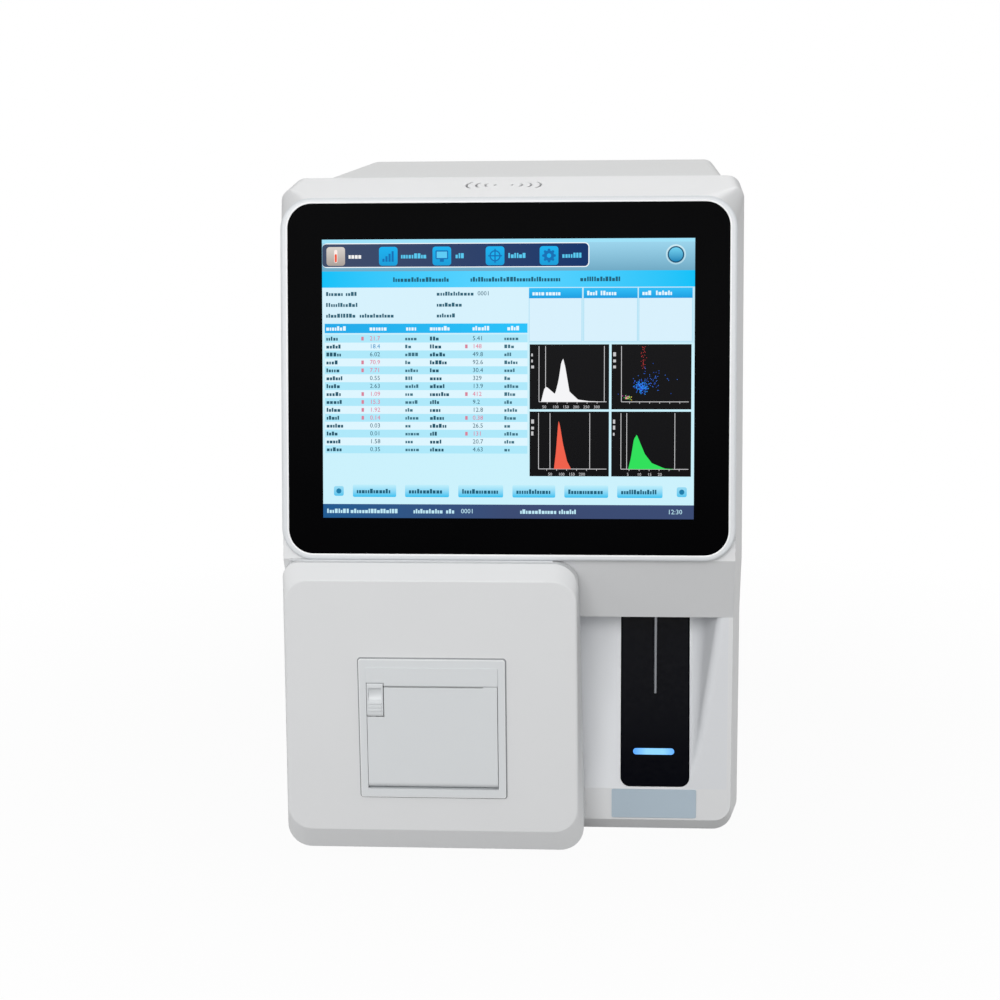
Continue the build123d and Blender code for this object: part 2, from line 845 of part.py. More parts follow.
# Paper roll lying in the bucket
roll_y = front_y + 29.5
roll_z = bucket_low + housing_wall + roll_radius + fit_gap
with BuildPart() as paper_roll:
    rod("x", (printer_x, roll_y, roll_z), roll_radius, roll_width)
    rod("x", (printer_x, roll_y, roll_z), roll_core, roll_width + 2, Mode.SUBTRACT)
finish(paper_roll, "paper_roll")

# Sampling bay: a liner with a leaning back, behind an opening in the front shell
bay_height = lip_z - bay_foot_z
ramp_angle = atan(bay_depth / bay_height)
ramp_length = hypot(bay_depth, bay_height)
ramp_plane = Plane(
    origin=(strip_x, lower_y, bay_foot_z),
    x_dir=(1, 0, 0),
    z_dir=(0, -cos(ramp_angle), sin(ramp_angle)),
)
ramp_back = bay_wall / cos(ramp_angle)
probe_y = front_y + probe_y_setback
probe_tip = bay_foot_z + probe_clearance
hub_z = lip_z + hub_rise
rod_bottom = lip_z + rod_rise
board_depth = 8.0
board_thickness = 1.6
post_radius = 2.5
post_x = strip_width / 2 + 5.5
post_low = 16.0
post_high = ramp_length - 16.2
scoop_left = bay_left + bay_wall
strip_foot = 1.5
strip_length = ramp_length - strip_foot - 1.0
strip_middle = strip_foot + strip_length / 2
# The hollow itself: its right cheek is a slanting plane that runs out in the flat front
cheek_high = Vector(bay_right - scoop_high_gap, lower_y, lip_z)
cheek_low = Vector(bay_right - scoop_low_gap, lower_y, bay_foot_z)
cheek_back = Vector(bay_right - scoop_high_gap - scoop_cheek, lower_y + bay_depth, lip_z)
with BuildPart() as bay_space:
    with BuildSketch(facing_right(scoop_left)):
        Polygon(
            (lower_y - 5, bay_foot_z - 5 / tan(ramp_angle)),
            (lower_y + bay_depth, lip_z),
            (lower_y - 5, lip_z),
            align=None,
        )
    extrude(amount=bay_right - scoop_left)
    cheek = (cheek_low - cheek_high).cross(cheek_back - cheek_high)
    split(bisect_by=Plane(origin=cheek_high, z_dir=cheek), keep=Keep.BOTTOM)
    cheek_edges = (
        bay_space.edges()
        .filter_by(lambda e: e.center().Y > lower_y and e.center().X > strip_x)
        .filter_by(lambda e: abs(e.tangent_at(0.5).Z) > 0.5)
    )
    fillet(cheek_edges, radius=bay_corner)
with BuildPart() as bay_panel:
    with BuildSketch(facing_right(bay_left)):
        Polygon(
            (lower_y, bay_foot_z),
            (lower_y, lip_z + bay_wall),
            (lower_y + bay_depth + ramp_back, lip_z + bay_wall),
            (lower_y + ramp_back, bay_foot_z),
            align=None,
        )
    extrude(amount=bay_right - bay_left)
    add(bay_space.part, mode=Mode.SUBTRACT)
    front_cheek_edge = (
        bay_panel.edges()
        .filter_by(lambda e: abs(e.center().Y - lower_y) < 0.01)
        .filter_by(lambda e: strip_x < e.center().X < bay_right - 1)
        .filter_by(lambda e: abs(e.tangent_at(0.5).Z) > 0.5)
    )
    fillet(front_cheek_edge, radius=bay_edge)
    with BuildSketch(ramp_plane.offset(-bay_wall / 2)):
        with Locations(*[(x, y) for x in (-post_x, post_x) for y in (post_low, post_high)]):
            Circle(post_radius)
    extrude(amount=bay_wall / 2 - board_depth)
    # The ceiling starts behind the lip of the front shell
    block(
        (bay_left - 1, lower_y - 1, lip_z),
        (
            bay_right + 1,
            lower_y + shell_wall / cos(overhang_angle) + fit_gap,
            lip_z + bay_wall + 1,
        ),
        Mode.SUBTRACT,
    )
    # Opening for the start plate, and the hole that the probe comes down through
    with BuildSketch(ramp_plane.offset(strip_proud + 1.2)):
        with Locations((0, strip_middle)):
            RectangleRounded(strip_width + 0.8, strip_length + 0.8, strip_corner + 0.4)
    extrude(amount=-strip_proud - bay_wall - 2, mode=Mode.SUBTRACT)
    rod("z", (strip_x, probe_y, lip_z + bay_wall / 2), 2.2, bay_wall + 2, Mode.SUBTRACT)
finish(bay_panel, "bay_panel")

# Start plate: long black push plate on the bay's leaning back, kept in by a rim behind
rim_gap = 0.4
rim_thickness = 1.2
strip_back = bay_wall + rim_gap
with BuildPart() as start_plate:
    with BuildSketch(ramp_plane.offset(strip_proud)):
        with Locations((0, strip_middle)):
            RectangleRounded(strip_width, strip_length, strip_corner)
    extrude(amount=-strip_proud - strip_back)
    chamfer(
        start_plate.faces().sort_by(Axis(ramp_plane.origin, ramp_plane.z_dir))[-1].edges(),
        length=0.4,
    )
    with BuildSketch(ramp_plane.offset(-strip_back)):
        with Locations((0, strip_middle - 1.0)):
            RectangleRounded(strip_width + 4, strip_length - 2.0, strip_corner)
    extrude(amount=-rim_thickness)
    with BuildSketch(ramp_plane.offset(strip_proud)):
        with Locations((-0.8, light_rise)):
            SlotOverall(light_width, light_height)
    extrude(amount=-strip_proud - strip_back - rim_thickness, mode=Mode.SUBTRACT)
finish(start_plate, "start_plate")

# Light pipe in the start plate
with BuildPart() as light_pipe:
    with BuildSketch(ramp_plane.offset(strip_proud - 0.1)):
        with Locations((-0.8, light_rise)):
            SlotOverall(light_width - 0.1, light_height - 0.1)
    extrude(amount=-strip_proud - strip_back - rim_thickness + 0.1)
finish(light_pipe, "light_pipe")

# Start switch board on the liner's posts, with two key switches behind the plate
switch_clearance = 0.2
switch_front = strip_back + rim_thickness + strip_travel + switch_clearance
with BuildPart() as start_switch:
    with BuildSketch(ramp_plane.offset(-board_depth)):
        with Locations((0, (post_low + post_high) / 2)):
            RectangleRounded(2 * post_x + 7, post_high - post_low + 14, 2)
    extrude(amount=-board_thickness)
    with BuildSketch(ramp_plane.offset(-board_depth)):
        with Locations((0, post_low + 14), (0, post_high - 12)):
            Rectangle(6, 6)
    extrude(amount=board_depth - switch_front - 0.4)
    with BuildSketch(ramp_plane.offset(-board_depth)):
        with Locations((0, post_low + 14), (0, post_high - 12)):
            Circle(1.7)
    extrude(amount=board_depth - switch_front)
finish(start_switch, "start_switch")

# Blank plate under the bay, where such an instrument carries its notices
with BuildPart() as label_plate:
    with BuildSketch(facing_front(lower_y)):
        with Locations((strip_x - 0.6, bottom_z + label_rise)):
            RectangleRounded(label_width, label_height, 1.0)
    extrude(amount=label_thickness)
finish(label_plate, "label_plate")

# Wash block on the bay's ceiling: rinses the probe as it is drawn up
wash_low = lip_z + bay_wall
wash_height = 16.0
with BuildPart() as wash_block:
    block(
        (strip_x - 10, probe_y - 5, wash_low),
        (strip_x + 10, probe_y + 10, wash_low + wash_height),
    )
    chamfer(wash_block.edges().filter_by(Axis.Z), length=1.5)
    rod("x", (strip_x - 13, probe_y, wash_low + 5), 1.4, 8)
    rod("x", (strip_x + 13, probe_y, wash_low + 11), 1.4, 8)
    rod("z", (strip_x, probe_y, wash_low + wash_height / 2), probe_radius + fit_gap,
        wash_height + 2, Mode.SUBTRACT)
finish(wash_block, "wash_block")

# Inner frame: upright steel sheet from front to back between electronics and fluids
base_z = bottom_z + base_sheet
frame_x = 20.0
frame_sheet = 1.5
frame_right = frame_x + frame_sheet
frame_front = probe_y + screw_behind + 8
frame_back = back_y - sheet - 14
frame_top = cover_z - 33.8
window_size = 60.0
window_pitch = 80.0
window_margin = 73.0
cable_width = 36.0
cable_height = 28.0
cable_margin = 43.0
cable_rise = 43.5
cable_pitch = 200.0
with BuildPart() as inner_frame:
    block((frame_x, frame_front, base_z), (frame_right, frame_back, frame_top))
    block((frame_x - 14, frame_front, base_z), (frame_x, frame_back, base_z + frame_sheet))
    block(
        (frame_x - 12, frame_front, frame_top - frame_sheet), (frame_x, frame_back, frame_top)
    )
    with BuildSketch(facing_right(frame_x - 1)):
        with Locations((frame_front + window_margin + window_pitch, frame_top - window_size)):
            with GridLocations(window_pitch, 1, 3, 1):
                RectangleRounded(window_size, window_size, 8)
        with Locations((frame_front + cable_margin + cable_pitch / 2, base_z + cable_rise)):
            with GridLocations(cable_pitch, 1, 2, 1):
                RectangleRounded(cable_width, cable_height, 8)
    extrude(amount=frame_sheet + 2, mode=Mode.SUBTRACT)
finish(inner_frame, "inner_frame")

# Sampling bracket: upright plate with two shelves that hold the rods, screw and motor
rod_y = probe_y + rod_behind
screw_y = probe_y + screw_behind
carriage_low = hub_z - carriage_height / 2
rod_top = carriage_low + carriage_height + probe_travel + rod_spare
bracket_y = frame_front
shelf_front = rod_y - 10
shelf_half = rod_spread + rod_radius + 10.0
with BuildPart() as sampling_bracket:
    block(
        (frame_right, bracket_y, rod_bottom - plate_thickness),
        (strip_x + shelf_half, bracket_y + plate_thickness, rod_top + plate_thickness),
    )
    block(
        (strip_x - shelf_half, shelf_front, rod_bottom - plate_thickness),
        (strip_x + shelf_half, bracket_y, rod_bottom),
    )
    block(
        (strip_x - shelf_half, shelf_front, rod_top),
        (strip_x + shelf_half, bracket_y, rod_top + plate_thickness),
    )
    block(
        (frame_right, bracket_y + plate_thickness, rod_bottom),
        (frame_right + plate_thickness, bracket_y + 16, rod_top),
    )
    rod("z", (strip_x, screw_y, rod_top + plate_thickness / 2), screw_radius + 0.5,
        plate_thickness + 2, Mode.SUBTRACT)
finish(sampling_bracket, "sampling_bracket")

# Syringe unit places, needed here because its guide rod is in the group of rods
syringe_x = 84.0
syringe_y = seam_y + 79.0
syringe_spread = 25.0
syringe_low = 60.0
syringe_top = 228.0
barrel_low = clamp_z - barrel_grip
yoke_low = barrel_low - 2.0 - yoke_height - syringe_stroke
guide_x = syringe_x - 22

with BuildPart() as guide_rods:
    for side in (-1, 1):
        rod("z", (strip_x + side * rod_spread, rod_y, (rod_bottom + rod_top) / 2), rod_radius,
            rod_top - rod_bottom)
    rod("z", (guide_x, syringe_y, (syringe_low + plate_thickness + clamp_z) / 2), rod_radius,
        clamp_z - syringe_low - plate_thickness)
finish(guide_rods, "guide_rods")

# Lead screw of the probe, hanging in the motor; four starts make up its lead
thread_pitch = screw_lead / 4
screw_bottom = rod_bottom + 1.0
screw_end = rod_top + plate_thickness + 6
with BuildPart() as probe_screw:
    rod("z", (strip_x, screw_y, (screw_bottom + screw_end) / 2), screw_radius,
        screw_end - screw_bottom)
    thread_count = int((rod_top - rod_bottom - 12) / thread_pitch)
    for turn in range(thread_count):
        rod("z", (strip_x, screw_y, rod_bottom + 6 + thread_pitch * turn), screw_radius + 0.4,
            thread_pitch / 2)
finish(probe_screw, "probe_screw")

# Carriage that rides on the two rods and holds the probe out in front
with BuildPart() as probe_carriage:
    block(
        (strip_x - carriage_width / 2, rod_y - carriage_depth / 2, carriage_low),
        (strip_x + carriage_width / 2, rod_y + carriage_depth / 2,
         carriage_low + carriage_height),
    )
    chamfer(probe_carriage.edges().filter_by(Axis.Z), length=2)
    block(
        (strip_x - 8, rod_y, carriage_low), (strip_x + 8, screw_y + 6, carriage_low + 12)
    )
    block(
        (strip_x - 7, probe_y - 6, carriage_low), (strip_x + 7, rod_y, hub_z)
    )
    for side in (-1, 1):
        rod("z", (strip_x + side * rod_spread, rod_y, hub_z), rod_radius + sliding_gap,
            3 * carriage_height, Mode.SUBTRACT)
    rod("z", (strip_x, screw_y, hub_z), screw_radius + 0.7, 3 * carriage_height, Mode.SUBTRACT)
    rod("z", (strip_x, probe_y, hub_z), probe_hub_radius + 0.05, 3 * carriage_height,
        Mode.SUBTRACT)
finish(probe_carriage, "probe_carriage")

# Sample probe: thin steel tube with a hub that sits in the carriage's arm
with BuildPart() as sample_probe:
    rod("z", (strip_x, probe_y, (probe_tip + hub_z) / 2), probe_radius, hub_z - probe_tip)
    rod("z", (strip_x, probe_y, hub_z - 3), probe_hub_radius, 10)
    rod("z", (strip_x, probe_y, hub_z + hub_height / 2), probe_hub_radius + 1.5, hub_height)
    rod("z", (strip_x, probe_y, hub_z + hub_height + 3), 1.5, 6)
    chamfer(sample_probe.edges().sort_by(Axis.Z)[0], length=0.5)
finish(sample_probe, "sample_probe")

# Syringe bracket: upright plate beside the inner frame with three shelves
syringe_plate_x = 50.0
syringe_front = syringe_y - syringe_spread - 15
syringe_back = syringe_y + syringe_spread + 15
big_outer = 9.0
big_bore = 7.0
small_outer = 6.5
small_bore = 4.5
with BuildPart() as syringe_bracket:
    block(
        (syringe_plate_x, syringe_front, syringe_low),
        (syringe_plate_x + plate_thickness, syringe_back, syringe_top + plate_thickness),
    )
    for shelf_z in (syringe_low, clamp_z, syringe_top):
        block(
            (syringe_plate_x, syringe_front, shelf_z),
            (syringe_x + 16, syringe_back, shelf_z + plate_thickness),
        )
    for leg_z in (syringe_low + 10, syringe_top - 20):
        for leg_y in (syringe_front + 5, syringe_back - 5):
            rod("x", ((frame_right + syringe_plate_x) / 2, leg_y, leg_z), 4,
                syringe_plate_x - frame_right)
    for barrel_y, radius in (
        (syringe_y - syringe_spread, big_outer), (syringe_y + syringe_spread, small_outer)
    ):
        rod("z", (syringe_x, barrel_y, clamp_z + plate_thickness / 2), radius + 0.05,
            plate_thickness + 2, Mode.SUBTRACT)
        rod("z", (syringe_x, barrel_y, syringe_top + plate_thickness / 2), 2.6,
            plate_thickness + 2, Mode.SUBTRACT)
    rod("z", (syringe_x, syringe_y, syringe_low + plate_thickness / 2), screw_radius + 0.9,
        plate_thickness + 2, Mode.SUBTRACT)
finish(syringe_bracket, "syringe_bracket")

with BuildPart() as syringe_barrels:
    barrel_length = syringe_top - barrel_low
    for barrel_y, outer, bore in (
        (syringe_y - syringe_spread, big_outer, big_bore),
        (syringe_y + syringe_spread, small_outer, small_bore),
    ):
        rod("z", (syringe_x, barrel_y, barrel_low + barrel_length / 2), outer, barrel_length)
        rod("z", (syringe_x, barrel_y, syringe_top + 4), 2.5, 8)
        rod("z", (syringe_x, barrel_y, barrel_low + barrel_length / 2 - 4), bore,
            barrel_length, Mode.SUBTRACT)
        rod("z", (syringe_x, barrel_y, syringe_top + 3), 1.2, 14, Mode.SUBTRACT)
finish(syringe_barrels, "syringe_barrels")

# Both plungers hang from one yoke, which a single screw drives up and down
piston_low = clamp_z + 6
piston_height = 6.0
with BuildPart() as syringe_plungers:
    block(
        (guide_x - 7, syringe_y - 9, yoke_low),
        (syringe_x + 9, syringe_y + 9, yoke_low + yoke_height),
    )
    block(
        (syringe_x - 9, syringe_y - syringe_spread - 8, yoke_low),
        (syringe_x + 9, syringe_y + syringe_spread + 8, yoke_low + yoke_height),
    )
    for barrel_y, bore in (
        (syringe_y - syringe_spread, big_bore), (syringe_y + syringe_spread, small_bore)
    ):
        rod_length = piston_low - yoke_low - yoke_height
        rod("z", (syringe_x, barrel_y, piston_low - rod_length / 2), 2.8, rod_length)
        rod("z", (syringe_x, barrel_y, piston_low + piston_height / 2), bore - 0.08,
            piston_height)
    rod("z", (syringe_x, syringe_y, yoke_low + yoke_height / 2), screw_radius + 0.7,
        yoke_height + 2, Mode.SUBTRACT)
    rod("z", (guide_x, syringe_y, yoke_low + yoke_height / 2), rod_radius + sliding_gap,
        yoke_height + 2, Mode.SUBTRACT)
finish(syringe_plungers, "syringe_plungers")

with BuildPart() as syringe_screw:
    syringe_screw_low = syringe_low - 6
    syringe_screw_high = clamp_z - 1
    rod("z", (syringe_x, syringe_y, (syringe_screw_low + syringe_screw_high) / 2),
        screw_radius, syringe_screw_high - syringe_screw_low)
    syringe_threads = int((clamp_z - syringe_low - 16) / thread_pitch)
    for turn in range(syringe_threads):
        rod("z", (syringe_x, syringe_y, syringe_low + 8 + thread_pitch * turn),
            screw_radius + 0.4, thread_pitch / 2)
finish(syringe_screw, "syringe_screw")

# Two stepper motors: one on top of the probe's screw, one under the syringes' screw
probe_motor_low = rod_top + plate_thickness
syringe_motor_low = syringe_low - stepper_length
with BuildPart() as stepper_motors:
    half = stepper_size / 2
    for motor_x, motor_y, motor_low in (
        (strip_x, screw_y, probe_motor_low), (syringe_x, syringe_y, syringe_motor_low)
    ):
        block(
            (motor_x - half, motor_y - half, motor_low),
            (motor_x + half, motor_y + half, motor_low + stepper_length),
        )
    chamfer(stepper_motors.edges().filter_by(Axis.Z), length=3)
    for motor_x, motor_y, motor_low in (
        (strip_x, screw_y, probe_motor_low), (syringe_x, syringe_y, syringe_motor_low)
    ):
        block(
            (motor_x - 6, motor_y + half - 0.5, motor_low + 5),
            (motor_x + 6, motor_y + half + 4, motor_low + 15),
        )
    rod("z", (strip_x, screw_y, probe_motor_low + 4), screw_radius + 0.1, 8, Mode.SUBTRACT)
    rod("z", (syringe_x, syringe_y, syringe_low - 4), screw_radius + 0.1, 8, Mode.SUBTRACT)
finish(stepper_motors, "stepper_motors")

# Counting baths hang by their collars from a shelf on the inner frame
bath_x = 82.0
bath_y = syringe_y + 102.0
bath_spread = 20.0
bath_radius = 14.0
bath_shelf_z = 196.0
bath_depth = 40.0
bath_places = [(bath_x, bath_y - bath_spread), (bath_x, bath_y + bath_spread)]
with BuildPart() as counting_baths:
    with BuildSketch(Plane.XY.offset(bath_shelf_z - bath_depth)):
        with Locations(*bath_places):
            Circle(bath_radius)
    extrude(amount=bath_depth + 2)
    with BuildSketch(Plane.XY.offset(bath_shelf_z + 2)):
        with Locations(*bath_places):
            Circle(bath_radius + 3)
    extrude(amount=3)
    with BuildSketch(Plane.XY.offset(bath_shelf_z + 5)):
        with Locations(*bath_places):
            Circle(bath_radius - 2)
    extrude(amount=-bath_depth + 2, taper=6, mode=Mode.SUBTRACT)
    for place_x, place_y in bath_places:
        rod("z", (place_x, place_y, bath_shelf_z - bath_depth - 4), 3, 8)
finish(counting_baths, "counting_baths")

# Valve manifold with its row of solenoid valves
valve_spacing = 22.0
valve_count = 4
manifold_z = 84.0
manifold_left = 44.0
manifold_width = 26.0
manifold_height = 32.0
manifold_length = valve_spacing * valve_count + 4.0
valve_radius = 8.5
valve_length = 34.0
manifold_middle = manifold_z + manifold_height / 2
with BuildPart() as valve_manifold:
    block(
        (manifold_left, bath_y - manifold_length / 2, manifold_z),
        (
            manifold_left + manifold_width,
            bath_y + manifold_length / 2,
            manifold_z + manifold_height,
        ),
    )
    for valve in range(valve_count):
        valve_y = bath_y + (valve - (valve_count - 1) / 2) * valve_spacing
        rod("x", (manifold_left + manifold_width + valve_length / 2 - 1, valve_y, manifold_middle),
            valve_radius, valve_length)
        rod("z", (manifold_left + manifold_width / 2, valve_y, manifold_z + manifold_height + 4),
            2, 10)
    for leg_y in (bath_y - manifold_length / 2 + 10, bath_y + manifold_length / 2 - 10):
        rod("x", ((frame_right + manifold_left) / 2, leg_y, manifold_middle), 4,
            manifold_left - frame_right)
finish(valve_manifold, "valve_manifold")

# Base plate: folded steel tray that carries the frame, pumps and supply
base_half = shell_width / 2 - lower_corner - 0.5
base_front = lower_y + lower_bevel + 6 + fit_gap
base_back = back_y - sheet - fit_gap
with BuildPart() as base_plate:
    block((-base_half, base_front, bottom_z), (base_half, base_back, base_z))
    for side in (-1, 1):
        inner = side * (base_half - base_sheet)
        outer = side * base_half
        block(
            (min(inner, outer), base_front, base_z),
            (max(inner, outer), base_back, base_z + flange_height),
        )
    block(
        (-base_half, base_back - base_sheet, base_z),
        (base_half, base_back, base_z + flange_height),
    )
finish(base_plate, "base_plate")

# Four rubber feet
foot_places = [
    (sx * foot_spread_x / 2, foot_shift_y + sy * foot_spread_y / 2)
    for sx in (-1, 1)
    for sy in (-1, 1)
]
with BuildPart() as feet:
    with Locations(*[(x, y, foot_height / 2) for x, y in foot_places]):
        Cylinder(foot_radius, foot_height)
    chamfer(feet.edges().filter_by(GeomType.CIRCLE).group_by(Axis.Z)[0], length=1.2)
finish(feet, "feet")

# Rear cover: folded steel sheet, with the opening and ledge for the side door
cover_front = seam_y - tuck
cover_back = back_y - sheet - fit_gap
door_front = seam_y + door_front_gap
door_back = door_front + door_length
door_high = cover_z - door_top_gap
ledge = 6.0
flange_width = 14.0
screw_shank = 1.5
screw_head = 3.0
screw_places = [
    (sx * (side_x - flange_width / 2 - 1), sz)
    for sx in (-1, 1)
    for sz in (bottom_z + 42, (bottom_z + cover_z) / 2, cover_z - 22)
]
vent_pitch = 9.0
vent_count = 9
with BuildPart() as rear_cover:
    with BuildSketch(facing_front(cover_front)):
        with BuildLine():
            FilletPolyline(
                (-side_x, bottom_z),
                (-side_x, cover_z),
                (side_x, cover_z),
                (side_x, bottom_z),
                radius=bend_radius,
            )
            Line((side_x, bottom_z), (-side_x, bottom_z))
        make_face()
        with BuildLine():
            FilletPolyline(
                (-side_x + sheet, bottom_z + sheet),
                (-side_x + sheet, cover_z - sheet),
                (side_x - sheet, cover_z - sheet),
                (side_x - sheet, bottom_z + sheet),
                radius=bend_radius - sheet,
            )
            Line((side_x - sheet, bottom_z + sheet), (-side_x + sheet, bottom_z + sheet))
        make_face(mode=Mode.SUBTRACT)
    extrude(amount=-(cover_back - cover_front))
    # The sides turn in at the bottom to meet the base plate, and stop short of the shell
    block(
        (-base_half - fit_gap, cover_front - 1, bottom_z - 1),
        (base_half + fit_gap, cover_back + 1, bottom_z + sheet + 1),
        Mode.SUBTRACT,
    )
    block(
        (-side_x - 1, cover_front - 1, bottom_z - 1),
        (side_x + 1, seam_y + seam_gap, bottom_z + lower_corner + 2),
        Mode.SUBTRACT,
    )
    block(
        (side_x - 2 * sheet, door_front - door_seam - ledge, door_low - door_seam - ledge),
        (side_x - sheet, door_back + door_seam + ledge, door_high + door_seam + ledge),
    )
    block(
        (side_x - sheet, door_front - door_seam, door_low - door_seam),
        (side_x + 1, door_back + door_seam, door_high + door_seam),
        Mode.SUBTRACT,
    )
    block(
        (side_x - 3 * sheet, door_front + ledge, door_low + ledge),
        (side_x + 1, door_back - ledge, door_high - ledge),
        Mode.SUBTRACT,
    )
    # Flanges that the back panel is screwed to
    for side in (-1, 1):
        flange_outer = side * (side_x - sheet / 2)
        flange_inner = side * (side_x - flange_width)
        block(
            (min(flange_outer, flange_inner), cover_back - sheet, bottom_z + 2 * flange_height),
            (max(flange_outer, flange_inner), cover_back, cover_z - bend_radius),
        )
    for screw_x, screw_z in screw_places:
        rod("y", (screw_x, cover_back, screw_z), screw_shank + 0.1, 4 * sheet, Mode.SUBTRACT)
    # Cooling slots on the left side
    with BuildSketch(facing_right(-side_x - 1)):
        with Locations((back_y - 90, bottom_z + 102), (back_y - 90, cover_z - 83.8)):
            with GridLocations(vent_pitch, 1, vent_count, 1):
                SlotOverall(46, 4, rotation=90)
    extrude(amount=sheet + 2, mode=Mode.SUBTRACT)
finish(rear_cover, "rear_cover")

# Side door: steel sheet with the middle knuckles of its hinges and a small pull
hinge_x = side_x + hinge_radius
hinge_axis_y = door_back + door_seam / 2
hinge_places = [door_low + hinge_inset, door_high - hinge_inset]
knuckle = hinge_height / 3
pull_y = door_front + 14
with BuildPart() as side_door:
    with BuildSketch(facing_right(side_x - sheet)):
        with Locations(((door_front + door_back) / 2, (door_low + door_high) / 2)):
            RectangleRounded(door_length, door_high - door_low, 2)
    extrude(amount=sheet)
    for place in hinge_places:
        rod("z", (hinge_x, hinge_axis_y, place), hinge_radius, knuckle - 0.4)
        block(
            (side_x, hinge_axis_y - leaf_width, place - knuckle / 2 + 0.2),
            (side_x + leaf_thickness, hinge_axis_y, place + knuckle / 2 - 0.2),
        )
        rod("z", (hinge_x, hinge_axis_y, place), hinge_pin_radius + sliding_gap, knuckle + 2,
            Mode.SUBTRACT)
    rod("x", (side_x + 1.5, pull_y, (door_low + door_high) / 2), 5, 3)
    rod("x", (side_x + 3.25, pull_y, (door_low + door_high) / 2), 8, 2)
finish(side_door, "side_door")

with BuildPart() as door_hinges:
    for place in hinge_places:
        rod("z", (hinge_x, hinge_axis_y, place), hinge_radius, hinge_height)
        block(
            (side_x, hinge_axis_y + 0.6, place - hinge_height / 2),
            (side_x + leaf_thickness, hinge_axis_y + leaf_width, place + hinge_height / 2),
        )
        rod("z", (hinge_x, hinge_axis_y, place), hinge_radius + 1, knuckle, Mode.SUBTRACT)
        block(
            (side_x - 0.1, hinge_axis_y, place - knuckle / 2),
            (side_x + leaf_thickness + 1, hinge_axis_y + 3, place + knuckle / 2),
            Mode.SUBTRACT,
        )
        rod("z", (hinge_x, hinge_axis_y, place), hinge_pin_radius, hinge_height + 1.5)
finish(door_hinges, "door_hinges")

# Back panel, with the fan, the mains inlet, the data sockets and the reagent fittings
fan_x = -side_x + 62.0
fan_z = cover_z - 73.8
fan_size = 80.0
fan_depth = 25.0
fan_bore = 37.0
fan_screw_pitch = 71.5
inlet_x = -side_x + 38.0
inlet_z = 62.0
inlet_width = 30.0
inlet_height = 58.0
inlet_body_width = 24.0
inlet_body_height = 52.0
inlet_flange = 3.0
inlet_depth = 26.0
port_x = side_x - 48.0
port_z = 62.0
port_spacing = 24.0
port_thread = 5.0
data_x = side_x - 62.0
data_drop = 133.8
data_z = cover_z - data_drop
data_width = 84.0
data_height = 18.0
panel_y = back_y - sheet
vent_x = side_x - 68.0
vent_drop = 63.8
vent_z = cover_z - vent_drop
with BuildPart() as rear_panel:
    with BuildSketch(facing_front(back_y)):
        with BuildLine():
            FilletPolyline(
                (-side_x, bottom_z),
                (-side_x, cover_z),
                (side_x, cover_z),
                (side_x, bottom_z),
                radius=bend_radius,
            )
            Line((side_x, bottom_z), (-side_x, bottom_z))
        make_face()
        with Locations((fan_x, fan_z)):
            Circle(fan_bore, mode=Mode.SUBTRACT)
            with GridLocations(fan_screw_pitch, fan_screw_pitch, 2, 2):
                Circle(2.2, mode=Mode.SUBTRACT)
        with Locations((inlet_x, inlet_z)):
            Rectangle(inlet_body_width + 0.6, inlet_body_height + 0.6, mode=Mode.SUBTRACT)
        with Locations((port_x, port_z)):
            with GridLocations(port_spacing, port_spacing, 2, 2):
                Circle(port_thread + 0.1, mode=Mode.SUBTRACT)
        with Locations(*screw_places):
            Circle(screw_shank + 0.1, mode=Mode.SUBTRACT)
        with Locations((data_x, data_z)):
            RectangleRounded(data_width, data_height, 1, mode=Mode.SUBTRACT)
        with Locations((vent_x, vent_z)):
            with GridLocations(vent_pitch, 1, vent_count, 1):
                SlotOverall(50, 4, rotation=90, mode=Mode.SUBTRACT)
    extrude(amount=sheet)
finish(rear_panel, "rear_panel")

with BuildPart() as cooling_fan:
    fan_back = panel_y
    with BuildSketch(facing_front(fan_back)):
        with Locations((fan_x, fan_z)):
            RectangleRounded(fan_size, fan_size, 4)
            Circle(fan_bore, mode=Mode.SUBTRACT)
            with GridLocations(fan_screw_pitch, fan_screw_pitch, 2, 2):
                Circle(2.2, mode=Mode.SUBTRACT)
    extrude(amount=fan_depth)
    with BuildSketch(facing_front(fan_back)):
        with Locations((fan_x, fan_z)):
            Circle(16)
            for spoke_angle in (0, 90):
                Rectangle(2 * fan_bore + 2, 5, rotation=spoke_angle + 45)
    extrude(amount=3)
    rod("y", (fan_x, fan_back - 4, fan_z), 1.6, 10, Mode.SUBTRACT)
finish(cooling_fan, "cooling_fan")

blade_count = 7
blade_reach = fan_bore - 1.2
with BuildPart() as fan_rotor:
    rod("y", (fan_x, fan_back - 13, fan_z), 15, 18)
    with BuildSketch(facing_front(fan_back - 5)):
        with Locations((fan_x, fan_z)):
            with PolarLocations(0, blade_count):
                with Locations((blade_reach / 2 + 6, 0)):
                    Rectangle(blade_reach - 12, 7, rotation=14)
            Circle(blade_reach, mode=Mode.INTERSECT)
    extrude(amount=14)
    rod("y", (fan_x, fan_back - 3, fan_z), 1.5, 5)
finish(fan_rotor, "fan_rotor")

# Finger guard outside the fan: rings and two crossing spokes
guard_wire = 1.6
with BuildPart() as fan_guard:
    with BuildSketch(facing_front(back_y + guard_wire)):
        with Locations((fan_x, fan_z)):
            for ring_radius in (9, 18, 27, 36):
                Circle(ring_radius + guard_wire / 2)
                Circle(ring_radius - guard_wire / 2, mode=Mode.SUBTRACT)
            for spoke_angle in (45, 135):
                Rectangle(fan_screw_pitch * 1.414, guard_wire, rotation=spoke_angle)
            with GridLocations(fan_screw_pitch, fan_screw_pitch, 2, 2):
                Circle(4.2)
    extrude(amount=guard_wire)
finish(fan_guard, "fan_guard")

